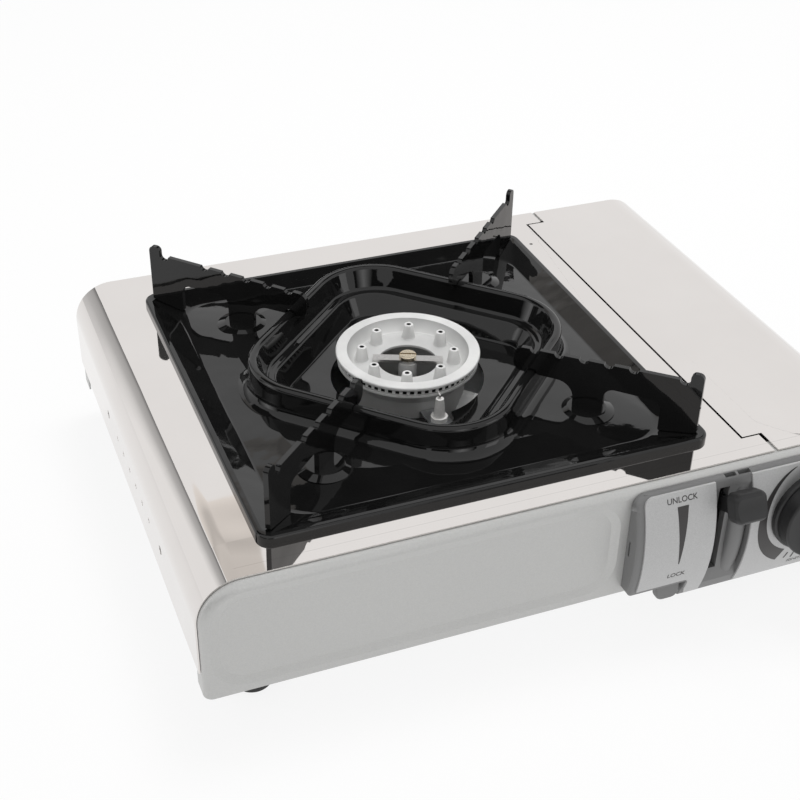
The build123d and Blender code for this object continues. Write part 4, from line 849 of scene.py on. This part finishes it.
class STOVE_OT_pan_supports(PieceOperator, bpy.types.Operator):
    """Model one punched pan support and copy it to the four corners"""

    bl_idname = "stove.pan_supports"
    bl_label = "Pan Supports"

    def model(self, sizes):
        out, side = (ACROSS + BACK).normalized(), (ACROSS - BACK).normalized()
        base = Vector((PAN.x, PAN.y, PLATE_HIGH.z))
        through = side * sizes.support_thickness
        # Distances from the burner's axis, then heights over the plate, in millimetres
        inner, leg, leg_end, heel, horn, outer = 54.0, 84.0, 98.5, 125.2, 137.0, 143.0
        belly, arch, tip = 14.0, 15.5, 34.0
        corners = [
            (inner, 26.6, 4.5), (horn, 29.6, 0), (horn, tip, 2.4), (outer, tip, 2.6), (outer, 3.6, 1.0),
            (outer - 3.5, 2.8, 0), (heel + 3.8, 0.7, 1.0), (heel, -0.1, 1.0), (heel, arch, 5.0),
            (leg_end, arch, 5.0), (leg_end, 0.9, 1.0), (leg, 1.5, 1.0), (leg, belly, 8.0),
            (inner, belly, 4.5),
        ]
        first = slab("support_blank", corners, base - through / 2, out, UP, through, 8)
        valley = 2.4
        valleys = [(inner + 10.0 + 11.8 * i, 27.4 + 0.439 * i) for i in range(5)] + [(horn - valley, 29.6)]
        spots = [base + (out * s + UP * z) * MM for s, z in valleys]
        tilt = (pi / 2, 0, pi / 4)
        cutter = rods(spots, valley * MM, 20 * MM, tilt, 32)
        bead = [(60.0, 8.0, 0), (65.7, 8.0, 0), (65.7, 16.5, 1.6), (60.2, 16.5, 1.6)]
        hook = slab("bead_cutter", bead, base - side * 6 * MM, out, UP, side * 12 * MM)
        carve(first, cutter, hook)
        surface(first, "black_enamel", bevel=0.45 * MM, segments=3, smooth=40)
        for i, name in enumerate(("back_right", "back_left", "front_left", "front_right")):
            hold(first)
            if i < 3:
                bpy.ops.object.duplicate(linked=False)
            made = bpy.context.object
            made.name = made.data.name = "enamelled_support_" + name
            if i:
                bpy.ops.object.mode_set(mode="EDIT")
                everything()
                bpy.ops.transform.rotate(value=-i * pi / 2, orient_axis="Z", center_override=base)
                bpy.ops.object.mode_set(mode="OBJECT")
            seat(made, "pan", "black_enamel", "pan_support_" + name)


class STOVE_OT_burner(PieceOperator, bpy.types.Operator):
    """Model the cast burner head with its flame ports and posts"""

    bl_idname = "stove.burner"
    bl_label = "Burner"

    def model(self, sizes):
        centre = Vector((PAN.x, PAN.y, 0))
        top, rim = HEAD_HIGH.z / MM - POST_TOP, (HEAD_HIGH.x - PAN.x) / MM
        lip, foot, floor, under = top + PORT_TOP, top + PORT_FOOT, top + FLOOR_TOP, top - 8.2
        hole, web = 14.5, PORT_FACE - 2.0
        section = soften(
            [
                (hole, floor, 0.3), (FLOOR_EDGE, floor, 1.6), (RING_EDGE, top, 0.35), (rim, top, 0.8),
                (rim, lip, 0.5), (PORT_FACE, lip, 0.3), (PORT_FACE, foot, 0), (web, foot, 0), (web, lip, 0),
                (web - 0.5, lip, 0), (FLOOR_EDGE + 1.4, under, 0), (hole, under, 0.3),
            ],
            True, 3,
        )
        made = lathe("cast_burner_head", section + section[:1], centre, 128)
        ports = begin("port_cutter")
        place = centre + at(PORT_FACE - 0.2, 0, top - 3.2)
        bpy.ops.mesh.primitive_cube_add(size=1.0, location=place)
        bpy.ops.transform.resize(value=at(4.6, 1.9, 2.7), center_override=place)
        copy_round(sizes.ports)
        carve(made, ports)
        sunk, bore, bore_depth = 7.2, 1.1, 3.0
        rise = sunk + POST_TOP
        post = soften(
            [
                (0, 0, 0), (3.9, 0, 0), (3.2, 0.7, 0.4), (2.25, rise, 0.5), (bore, rise, 0.2),
                (bore, rise - bore_depth, 0), (0, rise - bore_depth, 0),
            ],
            False, 3,
        )
        turn = pi / sizes.posts
        place = centre + at(POST_CIRCLE * cos(turn), POST_CIRCLE * sin(turn), top - sunk)
        posts = lathe("burner_posts", post, place, 24)
        copy_round(sizes.posts)
        join(made, posts)
        surface(made, "cast_aluminium", smooth=36)
        seat(made, "case", "cast_aluminium", "burner_head")


def bulge(z, proud, sizes):
    """Depth of the housing's bulging front at a height, in millimetres."""
    reach = sizes.barrel / MM
    middle = ((HOUSING_LOW.z + HOUSING_HIGH.z) / 2 + sizes.barrel_rise) / MM
    return HOUSING_LOW.y / MM + reach - sqrt((reach + proud) ** 2 - (z - middle) ** 2)


def barrel(name, left, right, low, high, proud, corner, sizes):
    """A moulding with that front, between two sides and two heights in millimetres."""
    back, lip, rows = HOUSING_HIGH.y / MM, 3.0, 16
    stops = [high - lip - (high - low - 2 * lip) * i / rows for i in range(rows + 1)]
    corners = [
        (back, high, 0), (bulge(high, proud, sizes), high, corner),
        *((bulge(z, proud, sizes), z, 0) for z in stops),
        (bulge(low, proud, sizes), low, corner), (back, low, 0),
    ]
    return slab(name, corners, at(left, 0, 0), BACK, UP, at(right - left, 0, 0))


def front_cutter(corners):
    """A cutter through the housing, its outline seen from the front in millimetres."""
    return slab("cutter", corners, at(0, -140, 0), ACROSS, UP, at(0, 40, 0))


def corner_cutter(x, z, radius):
    """A cutter that rounds the upper left corner of a moulding, seen from the front, in millimetres."""
    past, steps = 3.0, 10
    turns = [pi / 2 * i / steps for i in range(steps + 1)]
    arc = [(x + radius * (1 - sin(a)), z - radius * (1 - cos(a)), 0) for a in turns]
    corners = [(x - past, z + past, 0), (x + radius, z + past, 0), *arc, (x - past, z - radius, 0)]
    return front_cutter(corners)


def round_ends(made, offset, reach, *ends):
    """Round the sharp front edges of a moulding that lie near its ends, in millimetres."""
    hold(made)
    bpy.ops.object.mode_set(mode="EDIT")
    back, sharp = HOUSING_HIGH.y - 0.1 * MM, 0.6
    pick(
        lambda edge: any(all(abs(v.co.x / MM - end) < reach for v in edge.verts) for end in ends)
        and min(v.co.y for v in edge.verts) < back and edge.calc_face_angle(0.0) > sharp,
        "EDGE",
    )
    bpy.ops.mesh.bevel(offset=offset * MM, segments=5, affect="EDGES")
    settle()


class STOVE_OT_control_housing(PieceOperator, bpy.types.Operator):
    """Model the moulded control housing with its lever channel, toe and slots"""

    bl_idname = "stove.control_housing"
    bl_label = "Control Housing"

    def model(self, sizes):
        low, high = HOUSING_LOW / MM, HOUSING_HIGH / MM
        made = barrel("moulded_housing", low.x, high.x, low.z + 0.8, high.z, 0.0, 2.0, sizes)
        step = block(at(low.x - 9, low.y - 9, 0), at(54, high.y + 9, 25))
        carve(made, step, corner_cutter(low.x, high.z, 6.0))
        round_ends(made, 1.9, 6.1, low.x, high.x)
        # Depth and height of the lever channel's section
        bed, clear = high.y - 3.7, high.y - 18.3
        channel = [
            (bed, 71.5, 0), (bed, 25.5, 0), (bed - 1.2, 18.6, 0),
            (clear, 12, 0), (clear, 92, 0), (bed - 0.8, 75.8, 0),
        ]
        # Low and high corners of the lever's slot, the two slots in the top and the slit in the left end
        slots = (
            ((66, -129, 27), (71, -105, 74)),
            ((69, -119.3, 76.4), (74.6, -117.1, 80)),
            ((75.8, -119.3, 76.4), (82, -117.1, 80)),
            ((low.x - 1, -119.7, 46), (low.x + 1.4, -118.5, 54)),
        )
        carve(
            made,
            slab("channel_cutter", channel, at(63.5, 0, 0), BACK, UP, at(18.5, 0, 0)),
            *(block(at(*start), at(*end)) for start, end in slots),
        )
        rib_left, rib_right = 73.4, 82.1
        rib = barrel("channel_rib", rib_left, rib_right, 18.0, 75.0, -1.2, 0, sizes)
        round_ends(rib, 3.6, 0.01, rib_left, rib_right)
        toe_outline = [(41, 14.8, 4), (53, 14.8, 4), (53, 27, 0), (41, 27, 0)]
        toe = slab("housing_toe", toe_outline, BACK * HOUSING_HIGH.y, ACROSS, UP, at(0, -4.0, 0))
        shape(toe, "BEVEL", width=0.9 * MM, segments=3, limit_method="ANGLE")
        join(made, rib, toe)
        surface(made, "housing_plastic", bevel=0.25 * MM)
        seat(made, "case", "housing_plastic", "control_housing")


def ribbon(*rows):
    """Add a strip through rows of spots to the open mesh."""
    marks = []
    for row in rows:
        chain(row)
        marks.append(tag())
    bridge(*marks)


def lettering(words, height, x, z, target, sizes):
    """A word laid on a printed plate, its height and middle in millimetres."""
    settle()
    bpy.ops.object.text_add(location=at(x, -140, z), rotation=(pi / 2, 0, 0))
    made = bpy.context.object
    made.data.body, made.data.size, made.data.offset = words, height * MM, 0.014 * height * MM
    made.data.align_x = made.data.align_y = "CENTER"
    made.data.resolution_u = 6
    bpy.ops.object.convert(target="MESH")
    made = bpy.context.object
    bpy.ops.object.transform_apply(location=True, rotation=True, scale=True)
    shape(made, "SHRINKWRAP", target=target, wrap_method="PROJECT", use_project_y=True)
    bpy.ops.object.mode_set(mode="EDIT")
    everything()
    bpy.ops.transform.translate(value=(0, -sizes.ink_proud, 0))
    settle()
    return made


class STOVE_OT_printed_plates(PieceOperator, bpy.types.Operator):
    """Model the two printed plates of the housing and the marks on them"""

    bl_idname = "stove.printed_plates"
    bl_label = "Printed Plates"

    def model(self, sizes):
        proud, ink = sizes.plate_proud / MM, sizes.ink_proud / MM
        foot, top = 15.6, 77.6
        plates = []
        for side, left, right in (("lock", 27.6, 63.3), ("dial", 82.2, 161.4)):
            made = barrel(f"printed_{side}_plate", left, right, foot, top, proud, 0.3, sizes)
            if side == "lock":
                step = [(20, 27.4, 0), (54.6, 27.4, 2.5), (54.6, 19.5, 2.0), (58, 10, 0), (20, 10, 0)]
                carve(made, front_cutter(step), corner_cutter(left, top, 4.0))
            surface(made, "fascia_print", bevel=0.35 * MM, segments=3)
            seat(made, "case", "fascia_print", side + "_fascia")
            plates.append(made)

        def spot(x, z):
            return at(x, bulge(z, proud, sizes) - ink, z)

        def dial_spot(radius, angle):
            return spot(114.8 + radius * cos(angle), 53.5 + radius * sin(angle))

        made = begin("printed_marks")
        # The wedge between the lever's two words
        wedge_x, wedge_top, wedge_height, rows = 46.3, 71.0, 30.5, 24
        spread = [(1 - i / rows, wedge_top - wedge_height * i / rows) for i in range(rows + 1)]
        ribbon(*([spot(wedge_x + side * (0.25 + 2.6 * share), z) for share, z in spread] for side in (-1, 1)))
        # The crescent round the dial, which widens as it goes round, and two ticks after it
        turns, parts, inner = 48, 5, 24.2
        sweep = [(0.3 + 7.3 * i / turns, radians(112 + 134 * i / turns)) for i in range(turns + 1)]
        ribbon(*(
            [dial_spot(inner + width * part / parts, angle) for width, angle in sweep]
            for part in range(parts + 1)
        ))
        for tick in (254, 262):
            edges = (radians(tick), radians(tick) + 0.03)
            ribbon(*([dial_spot(radius, angle) for radius in (26.5, 28.5, 30.5)] for angle in edges))
        words = [
            lettering("UNLOCK", 3.7, 46.0, 74.0, plates[0], sizes),
            lettering("LOCK", 3.4, 46.4, 33.6, plates[0], sizes),
            lettering("IGNITE", 2.9, 114.5, 20.6, plates[1], sizes),
        ]
        join(made, *words)
        surface(made, "ink", weighted=False)
        seat(made, "case", "fascia_print")


class STOVE_OT_finishes(PieceOperator, bpy.types.Operator):
    """Give every solid the finish of its slot in the record, or its coat"""

    bl_idname = "stove.finishes"
    bl_label = "Finishes"

    def model(self, sizes):
        for part in frame["record"]["subparts"]:
            solid = frame["nodes"][part["node"]].data
            solid.materials.clear()
            solid.materials.append(finish(COATED.get(part["node"], part["material_slot"])))


# Stage


def stage_paper(name, tint, glow=1.0, levels=()):
    """A stage material, matt where it doesn't glow, whose glow may change from a card's left to its right."""
    made = bpy.data.materials.new(name)
    made.use_nodes = True
    board = Board(made.node_tree)
    board.tree.nodes.remove(board.tree.nodes["Principled BSDF"])
    light = (*tint, 1.0)
    if levels:
        along = board.node("SeparateXYZ", "X", {"Vector": board.node("TexCoord", "Object")}) + 0.5
        stops = [(place, times(tint, level)) for place, level in levels]
        light = board.node("ValToRGB", "Color", {"Fac": along}, stops)
    matt = board.node("BsdfDiffuse", inputs={"Color": (*tint, 1.0)})
    blend = {0: glow, 1: matt, 2: board.node("Emission", inputs={"Color": light})}
    board.link(board.tree.nodes["Material Output"].inputs["Surface"], board.node("MixShader", inputs=blend))
    return made


def stage_plane(name, size, location, rotation, material):
    """A flat thing on the stage."""
    settle()
    bpy.ops.mesh.primitive_plane_add(size=1.0, location=location, rotation=rotation)
    made = bpy.context.object
    made.name = made.data.name = name
    made.scale = (*size, 1.0)
    made.data.materials.append(material)
    return made


class STOVE_OT_stage(PieceOperator, bpy.types.Operator):
    """Set the floor, the lights, the surroundings and the camera"""

    bl_idname = "stove.stage"
    bl_label = "Stage"

    def model(self, sizes):
        white, cream = (1.0, 1.0, 1.0), (1.0, 0.95, 0.9)
        stage_plane("floor", (12.0, 12.0), (0, 0, 0), (0, 0, 0), stage_paper("floor_paper", white, 0.86))
        dark, lit = stage_paper("dark_card", times(white, 0.02)), stage_paper("lit_card", times(white, 2.0))
        soft = stage_paper("soft_box", white, levels=((0.0, 0.02), (0.5, 2.4), (1.0, 0.02)))
        fade = stage_paper("fading_card", white, levels=(
            (0.0, 1.0), (0.27, 0.8), (0.5, 0.58), (0.8, 0.46), (0.95, 0.26), (1.0, 0.15),
        ))
        beige = stage_paper("beige_card", cream, levels=(
            (0.0, 0.95), (0.12, 0.8), (0.2, 0.62), (0.35, 0.74), (1.0, 0.66),
        ))
        for name, size, place, turn, paper in (
            ("ceiling_card", (3.2, 0.9), (0.05, 1.05, 1.62), (0, 0, 0), dark),
            ("front_card", (2.4, 0.7), (-0.3, -1.9, 0.38), (90, 0, 0), dark),
            ("side_card", (3.2, 0.7), (-2.08, -0.29, 0.38), (90, 0, 98), dark),
            ("back_card", (2.0, 1.2), (0.7, 2.9, 0.7), (90, 0, -13), dark),
            ("left_card", (0.98, 2.5), (-1.49, 2.6, 1.31), (90, 0, 0), fade),
            ("corner_card", (0.95, 2.2), (-0.16, 3.8, 3.6), (90, -90, 0), beige),
            ("left_box", (1.1, 0.8), (-1.77, 0.31, 0.5), (90, 0, 80), soft),
            ("middle_box", (1.1, 0.8), (0.1, -1.68, 0.55), (90, 0, 3), soft),
            ("right_box", (0.7, 0.9), (1.7, -1.4, 0.8), (90, 0, 50), lit),
        ):
            card = stage_plane(name, size, place, [radians(angle) for angle in turn], paper)
            # Only reflections see the cards
            card.visible_camera = card.visible_diffuse = card.visible_shadow = False
        self.set_world()
        aim = Vector((0, 0, 0.06))
        for name, place, size, watts in (
            ("key", (0.3, 0.3, 1.5), 0.7, 10.0),
            ("fill", (-0.9, -0.9, 1.4), 0.9, 2.0),
        ):
            bpy.ops.object.light_add(type="AREA", location=place)
            lamp = bpy.context.object
            lamp.name = name
            lamp.data.size = size
            lamp.data.energy = watts
            lamp.visible_glossy = False
            lamp.rotation_euler = (aim - Vector(place)).to_track_quat("-Z", "Y").to_euler()
        self.set_camera()

    def set_world(self):
        """A white room that lights the stove less than it shows."""
        world = bpy.data.worlds.new("studio")
        bpy.context.scene.world = world
        world.use_nodes = True
        board = Board(world.node_tree)
        seen = board.node("LightPath", "Is Camera Ray")
        for ray in ("Is Glossy Ray", "Is Transmission Ray"):
            seen = board.math("MAXIMUM", seen, board.node("LightPath", ray))
        background = board.tree.nodes["Background"]
        board.link(background.inputs["Color"], (1.0, 1.0, 1.0, 1.0))
        board.link(background.inputs["Strength"], 0.55 + 0.45 * seen)

    def set_camera(self):
        """The camera that was fitted to the stove's corners."""
        bpy.ops.object.camera_add(location=(-0.2490, -0.5239, 0.4488))
        camera = bpy.context.object
        right, up = Vector((0.9295, -0.3683, 0.0204)), Vector((0.19, 0.5254, 0.8294))
        turn = Matrix((right, up, right.cross(up).normalized())).transposed()
        camera.rotation_euler = turn.to_euler()
        camera.data.lens, camera.data.sensor_width = 63.03, 36.0
        camera.data.shift_x, camera.data.shift_y = -0.0135, -0.00075
        camera.data.clip_start = 0.01
        bpy.context.scene.camera = camera
        bpy.context.scene.view_settings.view_transform = "Standard"


STEPS = (
    STOVE_OT_top_plate, STOVE_OT_cartridge_lid, STOVE_OT_drip_tray, STOVE_OT_burner_well,
    STOVE_OT_pan_supports, STOVE_OT_burner, STOVE_OT_control_housing, STOVE_OT_printed_plates,
    STOVE_OT_finishes, STOVE_OT_stage,
)


class STOVE_PT_panel(bpy.types.Panel):
    """The stove's pieces, in the order that they are made"""

    bl_label = "Cartridge Stove"
    bl_idname = "STOVE_PT_panel"
    bl_space_type = "VIEW_3D"
    bl_region_type = "UI"
    bl_category = "Stove"

    def draw(self, context):
        for step in STEPS:
            self.layout.operator(step.bl_idname)
        for group in (context.scene.stove_sizes, context.scene.stove_colours):
            for key in group.__annotations__:
                self.layout.prop(group, key)


CLASSES = (StoveSizes, StoveColours, *STEPS, STOVE_PT_panel)


def register():
    for cls in CLASSES:
        bpy.utils.register_class(cls)
    bpy.types.Scene.stove_sizes = PointerProperty(type=StoveSizes)
    bpy.types.Scene.stove_colours = PointerProperty(type=StoveColours)


def unregister():
    del bpy.types.Scene.stove_colours
    del bpy.types.Scene.stove_sizes
    for cls in reversed(CLASSES):
        bpy.utils.unregister_class(cls)


def main():
    """Model every piece and set the stage."""
    register()
    for step in STEPS:
        group, name = step.bl_idname.split(".")
        getattr(getattr(bpy.ops, group), name)()
    settle()


if __name__ == "__main__":
    main()
